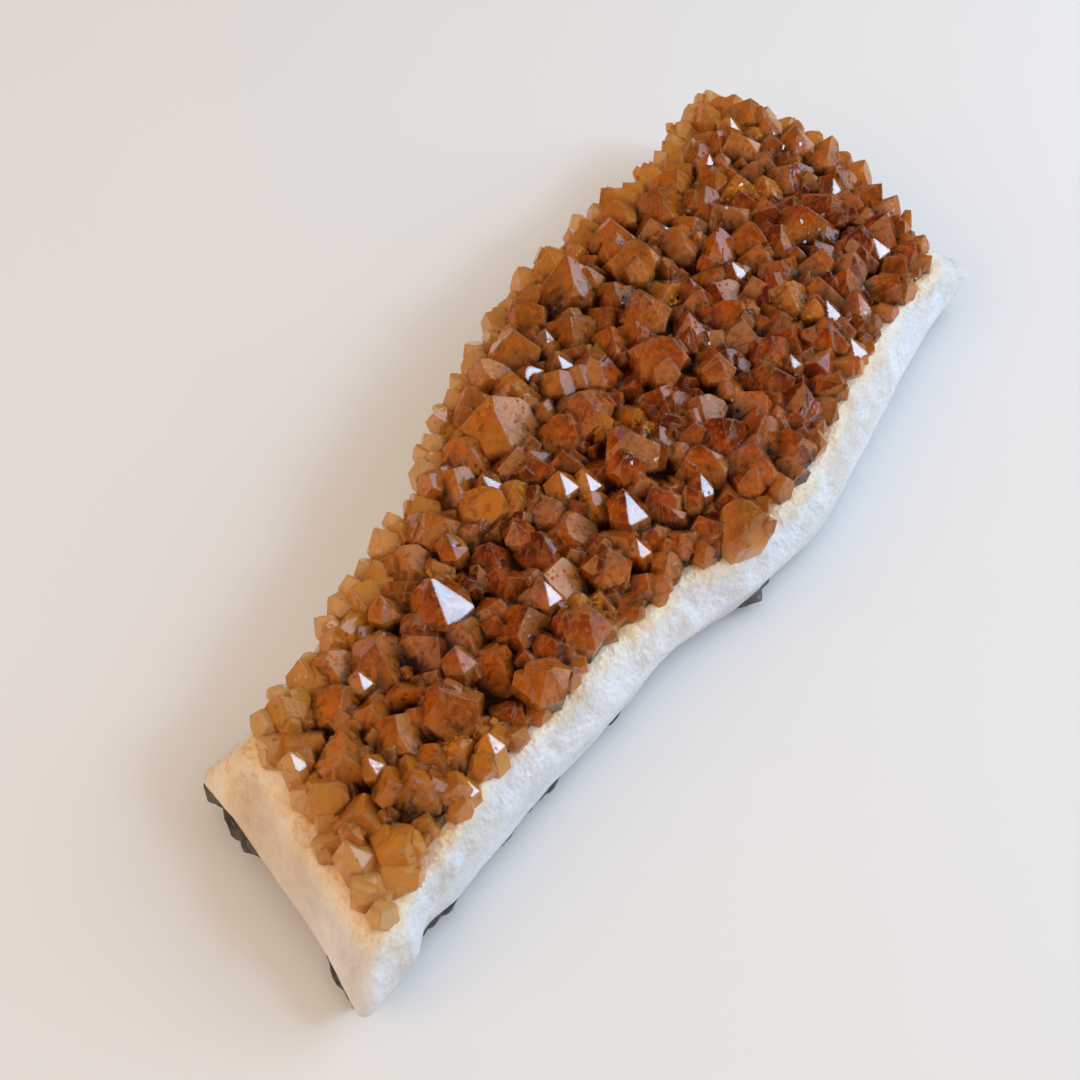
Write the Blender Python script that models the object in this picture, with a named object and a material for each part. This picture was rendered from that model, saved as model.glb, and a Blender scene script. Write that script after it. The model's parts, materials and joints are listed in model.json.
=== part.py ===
"""Citrine cluster: a loose slab of a crystal-lined geode wall, lying on its back.

Three pieces, in metres, +Z up, the long side along X, origin at the centre of the
footprint on the resting plane:
  citrine_druse   the carpet of intergrown quartz points, joined in one solid
  quartz_matrix   the white quartz slab that the points grew on
  basalt_rind     the thin skin of dark host rock under the slab, worn flat to rest on
"""
import math
import random

import bmesh
import bpy
from mathutils import Vector

# ---------------------------------------------------------------- driving dimensions (mm)
MM = 0.001
GAP = 0.3                 # clearance kept between two touching pieces
MATRIX_TOP = 11.6         # mean height of the bed that the points stand on
SHOULDER_Z = 7.4          # height where the granular shoulder turns into the steep wall
LEFT_LIP_Z = 5.2          # height of the lower lip of the slanting left end face
RIND_TOP = 1.7            # mean top of the dark skin
RIND_LEFT_TOP = 4.3       # the skin is thicker under the left end
ROOT_LAYER = 2.0          # depth of the grown-together roots under the points
RHOMB_ANGLE = math.radians(51.8)   # quartz: angle between a pyramid face's normal and the c axis
PITCH = 0.66              # how closely the points crowd: distance / mean width
SEED = 2207

# Outlines of the slab seen from above, counted front, right, back, left. Each list runs
# along its side; the corner points are shared.
TOP = dict(
    front=[(-70.5, -10.6), (-62, -10.7), (-54, -10.9), (-48, -10.8), (-42, -12.5), (-34, -13.3),
           (-27, -14.2), (-22, -16), (-15, -16.8), (-9, -19.8), (0, -21.6), (6, -22.8),
           (15, -22.8), (22, -21.4), (30, -21.2), (40, -20.8), (48, -22.2), (53.5, -21.8)],
    right=[(53.5, -21.8), (57, -16.5), (60.5, -11), (64, -6.3), (67, -1), (69.5, 5), (71, 11),
           (72, 16.5), (71.8, 22.8)],
    back=[(-60.5, 14.5), (-54, 14.6), (-44, 15.2), (-34, 16.4), (-24, 17.4), (-16, 19.2),
          (-8, 21.9), (0, 23.2), (8, 25.1), (18, 26.2), (28, 25.8), (38, 24.6), (46, 22.6),
          (50, 21.2), (57, 22.5), (64, 23.3), (71.8, 22.8)],
    left=[(-70.5, -10.6), (-69.5, -7), (-67.5, -3), (-65, 3), (-62.5, 7), (-61, 11), (-60.5, 14.5)])
MID = dict(
    front=[(-76.3, -12.3), (-70, -13), (-62, -13), (-54, -13.5), (-46, -14.2), (-38, -16.2),
           (-30, -17.3), (-22, -18.6), (-15, -20.5), (-8, -23.3), (0, -25.3), (8, -26.2),
           (18, -26), (28, -25.4), (38, -25), (48, -25), (57, -26)],
    right=[(57, -26), (59.5, -20), (62.5, -14), (66, -9), (69.5, -3), (72, 3), (73, 10),
           (73.5, 17), (72.5, 23.5)],
    back=[(-63.5, 16.5), (-54, 15.8), (-44, 16), (-34, 17), (-24, 18), (-16, 20), (-8, 22.8),
          (0, 24), (8, 26), (18, 27), (28, 26.5), (38, 25.3), (46, 23.3), (50, 22),
          (57, 23.2), (65, 24), (72.5, 23.5)],
    left=[(-76.3, -12.3), (-74.5, -9), (-72, -4), (-69.5, 2), (-67.3, 7.5), (-65.5, 12),
          (-63.5, 16.5)])
LOW = dict(
    front=[(-74.5, -10.8), (-68, -11.5), (-60, -12.5), (-52, -13.2), (-44, -14.2), (-36, -15.7),
           (-28, -16.6), (-20, -17.2), (-14, -19.2), (-8, -21.8), (0, -24), (8, -25.4),
           (18, -25), (28, -24.2), (38, -23.8), (48, -23.8), (56, -24.5)],
    right=[(56, -24.5), (58, -18), (61, -12), (65, -7), (68, -1), (70, 5), (71, 12), (71, 18),
           (70, 22)],
    back=[(-61.5, 14.5), (-56, 14.3), (-46, 15), (-34, 16), (-22, 17.5), (-12, 20), (-2, 22.5),
          (8, 24.5), (18, 25.5), (28, 25), (38, 24), (46, 22.3), (54, 21.5), (62, 22.5),
          (70, 22)],
    left=[(-74.5, -10.8), (-73, -8.5), (-70.8, -4.5), (-68, 1), (-65.5, 6.5), (-63, 11),
          (-61.5, 14.5)])

# The large points that give the carpet its rhythm: x, y of the foot, width across the
# prism, height of the tip over the bed, lean towards +x and towards +y in degrees.
LARGE_POINTS = [
    (-35, 6, 9, 9.5, 4, -10), (-45, -4, 8, 8, -6, 4), (-38, -5, 8, 8.5, 8, -6),
    (-37, -10, 7, 7.5, -4, -10), (-29, -10, 7, 7.5, 6, -8), (-21, 5, 9, 8.5, -5, 6),
    (-9, 12, 10, 9.5, 4, 6), (-4, -3, 8, 9, -3, -4), (-6, -19, 7, 7, 2, -14),
    (17, 17, 10, 9.5, 2, 10), (18, 6, 8, 8.5, -6, 2), (11, 1, 8, 9, 5, -5),
    (14, -5, 7, 8, 0, -8), (-26, -6, 7, 8.5, 10, -4), (-11, -9, 8, 8.5, 2, -12),
    (4, 10, 8, 9, -8, 8), (30, -14, 8, 8, 5, -10), (32, -2, 8, 9, 3, 3),
    (51, 4, 8, 9, 8, 0), (57, -5, 8, 8.5, 14, -8), (62, 5, 9, 8.5, 16, 2),
    (28, -22, 7, 6, 2, -22), (46, -16, 8, 7.5, 8, -10), (40, 12, 8, 9, 0, 8),
    (62, 15, 8, 8, 18, 8), (-50, 6, 8, 7.5, -4, 6), (-58, 8, 7, 6.5, -14, 8),
    (-64, -5, 7, 6, -18, -4), (-55, -5, 8, 7, -8, -3), (-18, -8, 8, 8, 0, 5),
    (-2, 4, 8, 8.5, 5, 5), (25, 12, 8, 9, 6, 4), (45, -4, 8, 8, -4, -6),
]
# Widths tried after them, largest first, until no more of each fit.
FILL_WIDTHS = (9.4, 8.6, 7.8, 6.8, 6.0, 5.2)


# ---------------------------------------------------------------- plane geometry helpers
def smooth_step(t):
    t = max(0.0, min(1.0, t))
    return t * t * (3.0 - 2.0 * t)


def along(points, count):
    """count + 1 evenly spaced points on a smooth curve through the given ones."""
    dense = []
    n = len(points)
    for i in range(n - 1):
        p0 = Vector(points[max(i - 1, 0)])
        p1 = Vector(points[i])
        p2 = Vector(points[i + 1])
        p3 = Vector(points[min(i + 2, n - 1)])
        for s in range(12):
            t = s / 12.0
            dense.append(0.5 * ((2 * p1) + (p2 - p0) * t + (2 * p0 - 5 * p1 + 4 * p2 - p3) * t * t
                                + (3 * p1 - p0 - 3 * p2 + p3) * t * t * t))
    dense.append(Vector(points[-1]))
    run = [0.0]
    for a, b in zip(dense, dense[1:]):
        run.append(run[-1] + (b - a).length)
    out = []
    k = 0
    for j in range(count + 1):
        target = run[-1] * j / count
        while k < len(run) - 2 and run[k + 1] < target:
            k += 1
        span = run[k + 1] - run[k]
        f = 0.0 if span == 0 else (target - run[k]) / span
        out.append(dense[k].lerp(dense[k + 1], min(1.0, max(0.0, f))))
    return out


def patch(outline, nu, nv):
    """Coons patch: a (nu + 1) x (nv + 1) grid of plan points filling the outline."""
    front, back = along(outline["front"], nu), along(outline["back"], nu)
    left, right = along(outline["left"], nv), along(outline["right"], nv)
    grid = []
    for i in range(nu + 1):
        u = i / nu
        row = []
        for j in range(nv + 1):
            v = j / nv
            ruled = front[i] * (1 - v) + back[i] * v + left[j] * (1 - u) + right[j] * u
            corner = (front[0] * (1 - u) * (1 - v) + front[nu] * u * (1 - v)
                      + back[0] * (1 - u) * v + back[nu] * u * v)
            row.append(ruled - corner)
        grid.append(row)
    return grid


def rim(nu, nv):
    """Grid indices round the patch, counter-clockwise seen from above."""
    return ([(i, 0) for i in range(nu)] + [(nu, j) for j in range(nv)]
            + [(i, nv) for i in range(nu, 0, -1)] + [(0, j) for j in range(nv, 0, -1)])


def inset(outline, amounts):
    """The outline moved inwards, by an amount for each side, corners kept shared."""
    sides = {}
    inward = {"front": 1, "right": 1, "back": -1, "left": -1}
    for side, pts in outline.items():
        moved = []
        for i, p in enumerate(pts):
            a = Vector(pts[max(i - 1, 0)])
            b = Vector(pts[min(i + 1, len(pts) - 1)])
            t = (b - a).normalized()
            n = Vector((-t.y, t.x)) * inward[side]
            amount = amounts[side](p) if callable(amounts[side]) else amounts[side]
            moved.append(Vector(p) + n * amount)
        sides[side] = moved
    for (s1, i1), (s2, i2) in ((("front", 0), ("left", 0)), (("front", -1), ("right", 0)),
                               (("back", 0), ("left", -1)), (("back", -1), ("right", -1))):
        corner = Vector(outline[s1][i1]) + (sides[s1][i1] - Vector(outline[s1][i1])) \
            + (sides[s2][i2] - Vector(outline[s2][i2]))
        sides[s1][i1] = corner
        sides[s2][i2] = corner
    return {side: [tuple(p) for p in pts] for side, pts in sides.items()}


# ---------------------------------------------------------------- heights of the layers
def bed_z(x, y):
    """Top of the matrix, under the points: a shallow swell with a low left end."""
    swell = 0.7 * math.sin(x / 23.0 + 0.8) * math.cos(y / 17.0) + 0.4 * math.sin(y / 9.0 + x / 31.0)
    return MATRIX_TOP + swell - 0.9 * smooth_step((-52 - x) / 18.0)


def skin_z(x, y):
    """Underside of the matrix, which the dark skin follows."""
    thick = smooth_step((-42 - x) / 20.0) * smooth_step((y + 9) / 14.0)
    return RIND_TOP + (RIND_LEFT_TOP - RIND_TOP) * thick + 0.25 * math.sin(x / 8.0) * math.cos(y / 7.0)


def shoulder_z(x, y):
    """Height of the widest ring of the slab: low under the slanting left end."""
    left = smooth_step((-60 - x + 0.35 * (y + 12)) / 9.0)
    return SHOULDER_Z + (LEFT_LIP_Z - SHOULDER_Z) * left + 0.35 * math.sin(x / 6.5 + y / 5.0)


# ---------------------------------------------------------------- object helpers
def material(name, colour, roughness, transmission=0.0, ior=1.5):
    mat = bpy.data.materials.new(name)
    mat.use_nodes = True
    shader = mat.node_tree.nodes["Principled BSDF"]
    shader.inputs["Base Color"].default_value = (*colour, 1.0)
    shader.inputs["Roughness"].default_value = roughness
    shader.inputs["Metallic"].default_value = 0.0
    shader.inputs["IOR"].default_value = ior
    shader.inputs["Transmission Weight"].default_value = transmission
    mat.diffuse_color = (*colour, 1.0)
    return mat


def to_object(bm, name, collection, mat=None):
    mesh = bpy.data.meshes.new(name)
    bm.to_mesh(mesh)
    bm.free()
    obj = bpy.data.objects.new(name, mesh)
    if mat:
        mesh.materials.append(mat)
    collection.objects.link(obj)
    return obj


def slab(name, rings, nu, nv, collection, mat):
    """A closed slab: the first ring's patch on top, the last one's below, and a wall
    through every ring between. Each ring is (outline, height function)."""
    bm = bmesh.new()
    edge = rim(nu, nv)
    top_plan, top_z = patch(rings[0][0], nu, nv), rings[0][1]
    low_plan, low_z = patch(rings[-1][0], nu, nv), rings[-1][1]
    top = [[bm.verts.new((p.x * MM, p.y * MM, top_z(p.x, p.y) * MM)) for p in row]
           for row in top_plan]
    low = [[bm.verts.new((p.x * MM, p.y * MM, low_z(p.x, p.y) * MM)) for p in row]
           for row in low_plan]
    loops = [[top[i][j] for i, j in edge]]
    for outline, height in rings[1:-1]:
        plan = patch(outline, nu, nv)
        loops.append([bm.verts.new((plan[i][j].x * MM, plan[i][j].y * MM,
                                    height(plan[i][j].x, plan[i][j].y) * MM)) for i, j in edge])
    loops.append([low[i][j] for i, j in edge])
    for i in range(nu):
        for j in range(nv):
            bm.faces.new((top[i][j], top[i + 1][j], top[i + 1][j + 1], top[i][j + 1]))
            bm.faces.new((low[i][j], low[i][j + 1], low[i + 1][j + 1], low[i + 1][j]))
    for upper, lower in zip(loops, loops[1:]):
        for k in range(len(edge)):
            m = (k + 1) % len(edge)
            bm.faces.new((upper[m], upper[k], lower[k], lower[m]))
    bmesh.ops.recalc_face_normals(bm, faces=bm.faces[:])
    # flat areas become single faces
    bmesh.ops.dissolve_limit(bm, angle_limit=math.radians(0.05), verts=bm.verts[:],
                             edges=bm.edges[:])
    bmesh.ops.triangulate(bm, faces=bm.faces[:])
    return to_object(bm, name, collection, mat)


def slice_off(bm, point, normal):
    """Cuts away what lies beyond the plane and closes the cut."""
    cut = bmesh.ops.bisect_plane(bm, geom=bm.verts[:] + bm.edges[:] + bm.faces[:], dist=1e-9,
                                 plane_co=point, plane_no=normal, clear_outer=True)
    edges = [e for e in cut["geom_cut"] if isinstance(e, bmesh.types.BMEdge)]
    if edges:
        bmesh.ops.edgeloop_fill(bm, edges=edges)


def quartz_point(foot, axis, width, height, spin, rng):
    """One point: a hexagonal prism that ends in three broad and three narrow faces.
    It is a block sliced by the crystal's own planes. All lengths in metres."""
    bm = bmesh.new()
    bmesh.ops.create_cube(bm, size=1.0)
    side = axis.orthogonal().normalized()
    other = axis.cross(side)
    reach = width * 1.3
    centre = foot + axis * (height * 0.5)
    for v in bm.verts:
        c = v.co.copy()
        v.co = centre + side * (c.x * 2 * reach) + other * (c.y * 2 * reach) \
            + axis * (c.z * (height + 3.0 * width))
    tip = foot + axis * height
    for k in range(6):
        a = spin + math.radians(60) * k
        out = side * math.cos(a) + other * math.sin(a)
        slice_off(bm, foot + out * (0.5 * width * rng.uniform(0.90, 1.10)), out)
    for k in range(6):
        a = spin + math.radians(60) * k
        out = side * math.cos(a) + other * math.sin(a)
        slope = axis * math.cos(RHOMB_ANGLE) + out * math.sin(RHOMB_ANGLE)
        drop = rng.uniform(-0.02, 0.05) if k % 2 == 0 else rng.uniform(0.03, 0.16)
        slice_off(bm, tip + slope * (drop * width), slope)
    # the foot is buried in the root layer
    slice_off(bm, Vector((foot.x, foot.y, foot.z + (GAP + 0.45) * MM)), Vector((0, 0, -1)))
    bmesh.ops.recalc_face_normals(bm, faces=bm.faces[:])
    return bm


def keep_outer_skin(bm):
    """Fills pockets that the points close in on all sides, by dropping their walls."""
    unseen = set(bm.faces)
    islands = []
    while unseen:
        stack = [unseen.pop()]
        island = list(stack)
        while stack:
            for edge in stack.pop().edges:
                for face in edge.link_faces:
                    if face in unseen:
                        unseen.remove(face)
                        stack.append(face)
                        island.append(face)
        islands.append(island)
    islands.sort(key=len)
    for island in islands[:-1]:
        bmesh.ops.delete(bm, geom=island, context="FACES")


# ---------------------------------------------------------------- where the points stand
def inside(point, polygon):
    x, y = point
    odd = False
    for (x1, y1), (x2, y2) in zip(polygon, polygon[1:] + polygon[:1]):
        if (y1 > y) != (y2 > y) and x < (x2 - x1) * (y - y1) / (y2 - y1) + x1:
            odd = not odd
    return odd


def distance_to(point, polygon):
    """Distance to the polygon's edge, and the direction straight out to it."""
    best, way = 1e9, Vector((0, 0))
    p = Vector(point)
    for a, b in zip(polygon, polygon[1:] + polygon[:1]):
        a, b = Vector(a), Vector(b)
        ab = b - a
        t = max(0.0, min(1.0, (p - a).dot(ab) / max(ab.length_squared, 1e-9)))
        d = a + ab * t - p
        if d.length < best:
            best, way = d.length, d
    return best, (way.normalized() if way.length > 1e-6 else Vector((0, 0)))


def plant_points(region, rng):
    """Feet, leans and sizes of every point: the large ones first, then smaller and
    smaller ones into what is left, like the real growth."""
    polygon = []
    for side, order in (("front", 1), ("right", 1), ("back", -1), ("left", -1)):
        pts = [tuple(p) for p in along(region[side], 40)]
        polygon += pts[::order][:-1]
    xs, ys = [p[0] for p in polygon], [p[1] for p in polygon]
    placed = []
    for x, y, width, height, lean_x, lean_y in LARGE_POINTS:
        placed.append((x, y, width, height, lean_x, lean_y))
    for width in FILL_WIDTHS:
        misses = 0
        while misses < 700:
            x, y = rng.uniform(min(xs), max(xs)), rng.uniform(min(ys), max(ys))
            misses += 1
            if not inside((x, y), polygon):
                continue
            edge, way = distance_to((x, y), polygon)
            w = width * rng.uniform(0.93, 1.07)
            if edge < 4 and w > 7.2 or edge < 0.22 * w:
                continue
            if any(math.hypot(x - q[0], y - q[1]) < PITCH * 0.5 * (w + q[2]) for q in placed):
                continue
            fan = smooth_step(1.0 - edge / 9.0)
            lean = (25.0 + 8.0 * max(0.0, way.x) + 5.0 * way.y) * fan
            height = 0.62 * w + rng.uniform(2.4, 3.9) - 1.6 * fan
            placed.append((x, y, w, height,
                           way.x * lean + rng.gauss(0, 8), way.y * lean + rng.gauss(0, 8)))
            misses = 0
    return placed


# ---------------------------------------------------------------- build
def main():
    for obj in list(bpy.data.objects):
        bpy.data.objects.remove(obj, do_unlink=True)
    cluster = bpy.data.collections.new("citrine_cluster")
    bpy.context.scene.collection.children.link(cluster)
    workshop = bpy.data.collections.new("workshop")
    bpy.context.scene.collection.children.link(workshop)

    citrine = material("citrine", (0.62, 0.24, 0.05), 0.06, transmission=1.0, ior=1.544)
    milky_quartz = material("milky_quartz", (0.86, 0.83, 0.80), 0.35)
    basalt = material("basalt", (0.16, 0.14, 0.13), 0.85)

    # the white slab
    matrix = slab("quartz_matrix", [(TOP, bed_z), (MID, shoulder_z), (LOW, skin_z)],
                  26, 7, cluster, milky_quartz)

    # the dark skin: set back a little under the slab, standing out at the left end and
    # at a few remnants along the front
    def front_edge(p):
        remnant = sum(math.exp(-((p[0] - c) / w) ** 2)
                      for c, w in ((-62, 4), (-46, 6), (-28, 4), (-9, 4)))
        return 0.9 - 1.0 * min(1.0, remnant)

    skin_outline = inset(LOW, {"front": front_edge, "right": 1.2, "back": 1.0, "left": -1.4})
    foot_outline = inset(skin_outline, {"front": 1.6, "right": 2.6, "back": 2.4, "left": 2.4})
    skin = slab("basalt_rind",
                [(skin_outline, lambda x, y: skin_z(x, y) - GAP),
                 (inset(skin_outline, dict.fromkeys(("front", "right", "back", "left"), 0.15)),
                  lambda x, y: 0.45 * (skin_z(x, y) - GAP)),
                 (foot_outline, lambda x, y: 0.0)],
                20, 6, cluster, basalt)

    # the roots that the points share, lying on the slab
    region = inset(TOP, {"front": 0.7, "right": 0.6, "back": 0.6, "left": 0.9})
    roots = slab("citrine_druse",
                 [(inset(region, dict.fromkeys(("front", "right", "back", "left"), 0.7)),
                   lambda x, y: bed_z(x, y) + GAP + ROOT_LAYER),
                  (region, lambda x, y: bed_z(x, y) + GAP)],
                 24, 7, cluster, citrine)

    rng = random.Random(SEED)
    points = plant_points(region, rng)
    for n, (x, y, width, height, lean_x, lean_y) in enumerate(points):
        foot = Vector((x, y, bed_z(x, y))) * MM
        axis = Vector((math.tan(math.radians(lean_x)), math.tan(math.radians(lean_y)), 1.0))
        axis.normalize()
        bm = quartz_point(foot, axis, width * MM, height * MM, rng.uniform(0, math.tau), rng)
        to_object(bm, "point_%03d" % n, workshop)
    print("points:", len(points))

    grown = roots.modifiers.new("grown_together", "BOOLEAN")
    grown.operation = "UNION"
    grown.operand_type = "COLLECTION"
    grown.collection = workshop
    grown.solver = "EXACT"
    bpy.context.view_layer.update()
    joined = bpy.data.meshes.new_from_object(
        roots.evaluated_get(bpy.context.evaluated_depsgraph_get()))
    roots.modifiers.clear()
    roots.data = joined
    joined.name = "citrine_druse"
    joined.materials.clear()
    joined.materials.append(citrine)
    for obj in list(workshop.objects):
        bpy.data.objects.remove(obj, do_unlink=True)
    bpy.data.collections.remove(workshop)

    # tidy the joined mesh: one face per crystal facet
    bm = bmesh.new()
    bm.from_mesh(joined)
    bmesh.ops.remove_doubles(bm, verts=bm.verts[:], dist=2e-5)
    keep_outer_skin(bm)
    bmesh.ops.dissolve_limit(bm, angle_limit=math.radians(0.3), verts=bm.verts[:],
                             edges=bm.edges[:])
    bmesh.ops.triangulate(bm, faces=bm.faces[:])
    bm.to_mesh(joined)
    bm.free()

    # origin: centre of the footprint box, on the resting plane
    pieces = (matrix, skin, roots)
    corners = [v.co for obj in pieces for v in obj.data.vertices]
    low = Vector([min(c[i] for c in corners) for i in range(3)])
    high = Vector([max(c[i] for c in corners) for i in range(3)])
    shift = Vector((-(low.x + high.x) / 2, -(low.y + high.y) / 2, -low.z))
    for obj in pieces:
        for v in obj.data.vertices:
            v.co += shift
        obj.data.update()
        print(obj.name, "triangles:", sum(len(p.vertices) - 2 for p in obj.data.polygons))
    print("size mm:", [round(v * 1000, 2) for v in (high - low)],
          "shift mm:", [round(v * 1000, 3) for v in shift])


main()
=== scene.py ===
"""Looks of the citrine cluster: crystals, white quartz slab and dark skin, built around
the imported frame. Lengths in the tables are millimetres in the slab's own layout frame;
SHIFT moves that layout to the row frame."""

import json
import math
import random

import bmesh
import bpy
import numpy as np
from mathutils import Matrix, Vector

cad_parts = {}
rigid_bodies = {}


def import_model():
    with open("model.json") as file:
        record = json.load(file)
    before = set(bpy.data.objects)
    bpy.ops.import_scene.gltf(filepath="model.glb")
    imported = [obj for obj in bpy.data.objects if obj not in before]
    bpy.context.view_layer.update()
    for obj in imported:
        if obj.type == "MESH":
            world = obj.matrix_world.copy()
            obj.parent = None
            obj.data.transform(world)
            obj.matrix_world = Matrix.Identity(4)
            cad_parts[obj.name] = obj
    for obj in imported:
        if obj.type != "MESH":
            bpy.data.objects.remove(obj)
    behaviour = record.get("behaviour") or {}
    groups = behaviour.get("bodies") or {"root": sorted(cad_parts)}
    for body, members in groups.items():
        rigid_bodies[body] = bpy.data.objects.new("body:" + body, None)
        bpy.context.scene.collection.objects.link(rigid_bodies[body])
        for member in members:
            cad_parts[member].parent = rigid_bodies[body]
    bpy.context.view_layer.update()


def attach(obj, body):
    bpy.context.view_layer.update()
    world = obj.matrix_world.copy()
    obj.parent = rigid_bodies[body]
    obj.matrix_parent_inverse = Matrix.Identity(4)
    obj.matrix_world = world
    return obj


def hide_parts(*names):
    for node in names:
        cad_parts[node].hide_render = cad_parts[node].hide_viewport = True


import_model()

MM = 0.001
SHIFT = np.array([1.395, -0.649, 0.0])      # layout frame -> row frame, mm
MATRIX_TOP, SHOULDER_Z, LEFT_LIP_Z = 11.6, 7.4, 5.2
RIND_TOP, RIND_LEFT_TOP = 1.7, 4.3
RHOMB = math.radians(51.8)

TOP = dict(
    front=[(-70.5, -10.6), (-62, -10.7), (-54, -10.9), (-48, -10.8), (-42, -12.5), (-34, -13.3),
           (-27, -14.2), (-22, -16), (-15, -16.8), (-9, -19.8), (0, -21.6), (6, -22.8),
           (15, -22.8), (22, -21.4), (30, -21.2), (40, -20.8), (48, -22.2), (53.5, -21.8)],
    right=[(53.5, -21.8), (57, -16.5), (60.5, -11), (64, -6.3), (67, -1), (69.5, 5), (71, 11),
           (72, 16.5), (71.8, 22.8)],
    back=[(-60.5, 14.5), (-54, 14.6), (-44, 15.2), (-34, 16.4), (-24, 17.4), (-16, 19.2),
          (-8, 21.9), (0, 23.2), (8, 25.1), (18, 26.2), (28, 25.8), (38, 24.6), (46, 22.6),
          (50, 21.2), (57, 22.5), (64, 23.3), (71.8, 22.8)],
    left=[(-70.5, -10.6), (-69.5, -7), (-67.5, -3), (-65, 3), (-62.5, 7), (-61, 11), (-60.5, 14.5)])
MID = dict(
    front=[(-76.3, -12.3), (-70, -13), (-62, -13), (-54, -13.5), (-46, -14.2), (-38, -16.2),
           (-30, -17.3), (-22, -18.6), (-15, -20.5), (-8, -23.3), (0, -25.3), (8, -26.2),
           (18, -26), (28, -25.4), (38, -25), (48, -25), (60.2, -26)],
    right=[(60.2, -26), (61.8, -20), (63.6, -14), (66.4, -9), (69.5, -3), (72, 3), (73, 10),
           (73.5, 17), (72.5, 23.5)],
    back=[(-62.8, 19.6), (-58.6, 18.8), (-52, 16.4), (-44, 16), (-34, 17), (-24, 18), (-16, 20), (-8, 22.8),
          (0, 24), (8, 26), (18, 27), (28, 26.5), (38, 25.3), (46, 23.3), (50, 22),
          (57, 23.2), (65, 24), (72.5, 23.5)],
    left=[(-76.3, -12.3), (-74.5, -9), (-72, -4), (-69.5, 2), (-67.2, 7.5), (-65.2, 12.5),
          (-62.8, 19.6)])
LOW = dict(
    front=[(-74.5, -10.8), (-68, -11.5), (-60, -12.5), (-52, -13.2), (-44, -14.2), (-36, -15.7),
           (-28, -16.6), (-20, -17.2), (-14, -19.2), (-8, -21.8), (0, -24), (8, -25.4),
           (18, -25), (28, -24.2), (38, -23.8), (48, -23.8), (59.4, -24.8)],
    right=[(59.4, -24.8), (60.4, -18), (62.2, -12), (65.2, -7), (68, -1), (70, 5), (71, 12), (71, 18),
           (70, 22)],
    back=[(-61.6, 18.6), (-57, 17.2), (-46, 15), (-34, 16), (-22, 17.5), (-12, 20), (-2, 22.5),
          (8, 24.5), (18, 25.5), (28, 25), (38, 24), (46, 22.3), (54, 21.5), (62, 22.5),
          (70, 22)],
    left=[(-74.5, -10.8), (-73, -8.5), (-70.8, -4.5), (-68, 1), (-65.7, 6.5), (-64, 11.5),
          (-61.6, 18.6)])

# Large crystals: x, y of the foot, width, tip height over the bed, lean to +x and +y (deg)
LARGE_POINTS = [
    (-35, 6, 9, 9.5, 4, -10), (-45, -4, 8, 8, -6, 4), (-38, -5, 8, 8.5, 8, -6),
    (-37, -10, 7, 7.5, -4, -10), (-29, -10, 7, 7.5, 6, -8), (-21, 5, 9, 8.5, -5, 6),
    (-9, 12, 10, 9.5, 4, 6), (-4, -3, 8, 9, -3, -4), (-6, -19, 7, 7, 2, -14),
    (17, 17, 10, 9.5, 2, 10), (18, 6, 8, 8.5, -6, 2), (11, 1, 8, 9, 5, -5),
    (14, -5, 7, 8, 0, -8), (-26, -6, 7, 8.5, 10, -4), (-11, -9, 8, 8.5, 2, -12),
    (4, 10, 8, 9, -8, 8), (30, -14, 8, 8, 5, -10), (32, -2, 8, 9, 3, 3),
    (51, 4, 8, 9, 8, 0), (57, -5, 8, 8.5, 14, -8), (62, 5, 9, 8.5, 16, 2),
    (28, -22, 7, 6, 2, -22), (46, -16, 8, 7.5, 8, -10), (40, 12, 8, 9, 0, 8),
    (62, 15, 8, 8, 18, 8), (-50, 6, 8, 7.5, -4, 6), (-58, 8, 7, 6.5, -14, 8),
    (-64, -5, 7, 6, -18, -4), (-55, -5, 8, 7, -8, -3), (-18, -8, 8, 8, 0, 5),
    (-2, 4, 8, 8.5, 5, 5), (25, 12, 8, 9, 6, 4), (45, -4, 8, 8, -4, -6),
]


# ------------------------------------------------------------------ plan geometry
def smooth_step(t):
    t = np.clip(t, 0.0, 1.0)
    return t * t * (3.0 - 2.0 * t)


def along(points, count):
    """count + 1 evenly spaced points on a smooth curve through the given ones."""
    p = np.array(points, float)
    n = len(p)
    dense = []
    for i in range(n - 1):
        p0, p1, p2, p3 = p[max(i - 1, 0)], p[i], p[i + 1], p[min(i + 2, n - 1)]
        for s in range(12):
            t = s / 12.0
            dense.append(0.5 * (2 * p1 + (p2 - p0) * t + (2 * p0 - 5 * p1 + 4 * p2 - p3) * t * t
                                + (3 * p1 - p0 - 3 * p2 + p3) * t ** 3))
    dense.append(p[-1])
    dense = np.array(dense)
    run = np.concatenate([[0], np.cumsum(np.linalg.norm(np.diff(dense, axis=0), axis=1))])
    at = np.linspace(0, run[-1], count + 1)
    return np.stack([np.interp(at, run, dense[:, 0]), np.interp(at, run, dense[:, 1])], axis=1)


def patch(outline, nu, nv):
    """Coons patch: (nu + 1, nv + 1, 2) plan points that fill the outline."""
    f, b = along(outline["front"], nu), along(outline["back"], nu)
    l, r = along(outline["left"], nv), along(outline["right"], nv)
    u = np.linspace(0, 1, nu + 1)[:, None, None]
    v = np.linspace(0, 1, nv + 1)[None, :, None]
    ruled = f[:, None] * (1 - v) + b[:, None] * v + l[None] * (1 - u) + r[None] * u
    corner = (f[0] * (1 - u) * (1 - v) + f[-1] * u * (1 - v) + b[0] * (1 - u) * v + b[-1] * u * v)
    return ruled - corner


def rim(nu, nv):
    """Grid indices round the patch, counter-clockwise seen from above."""
    return ([(i, 0) for i in range(nu)] + [(nu, j) for j in range(nv)]
            + [(i, nv) for i in range(nu, 0, -1)] + [(0, j) for j in range(nv, 0, -1)])


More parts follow.
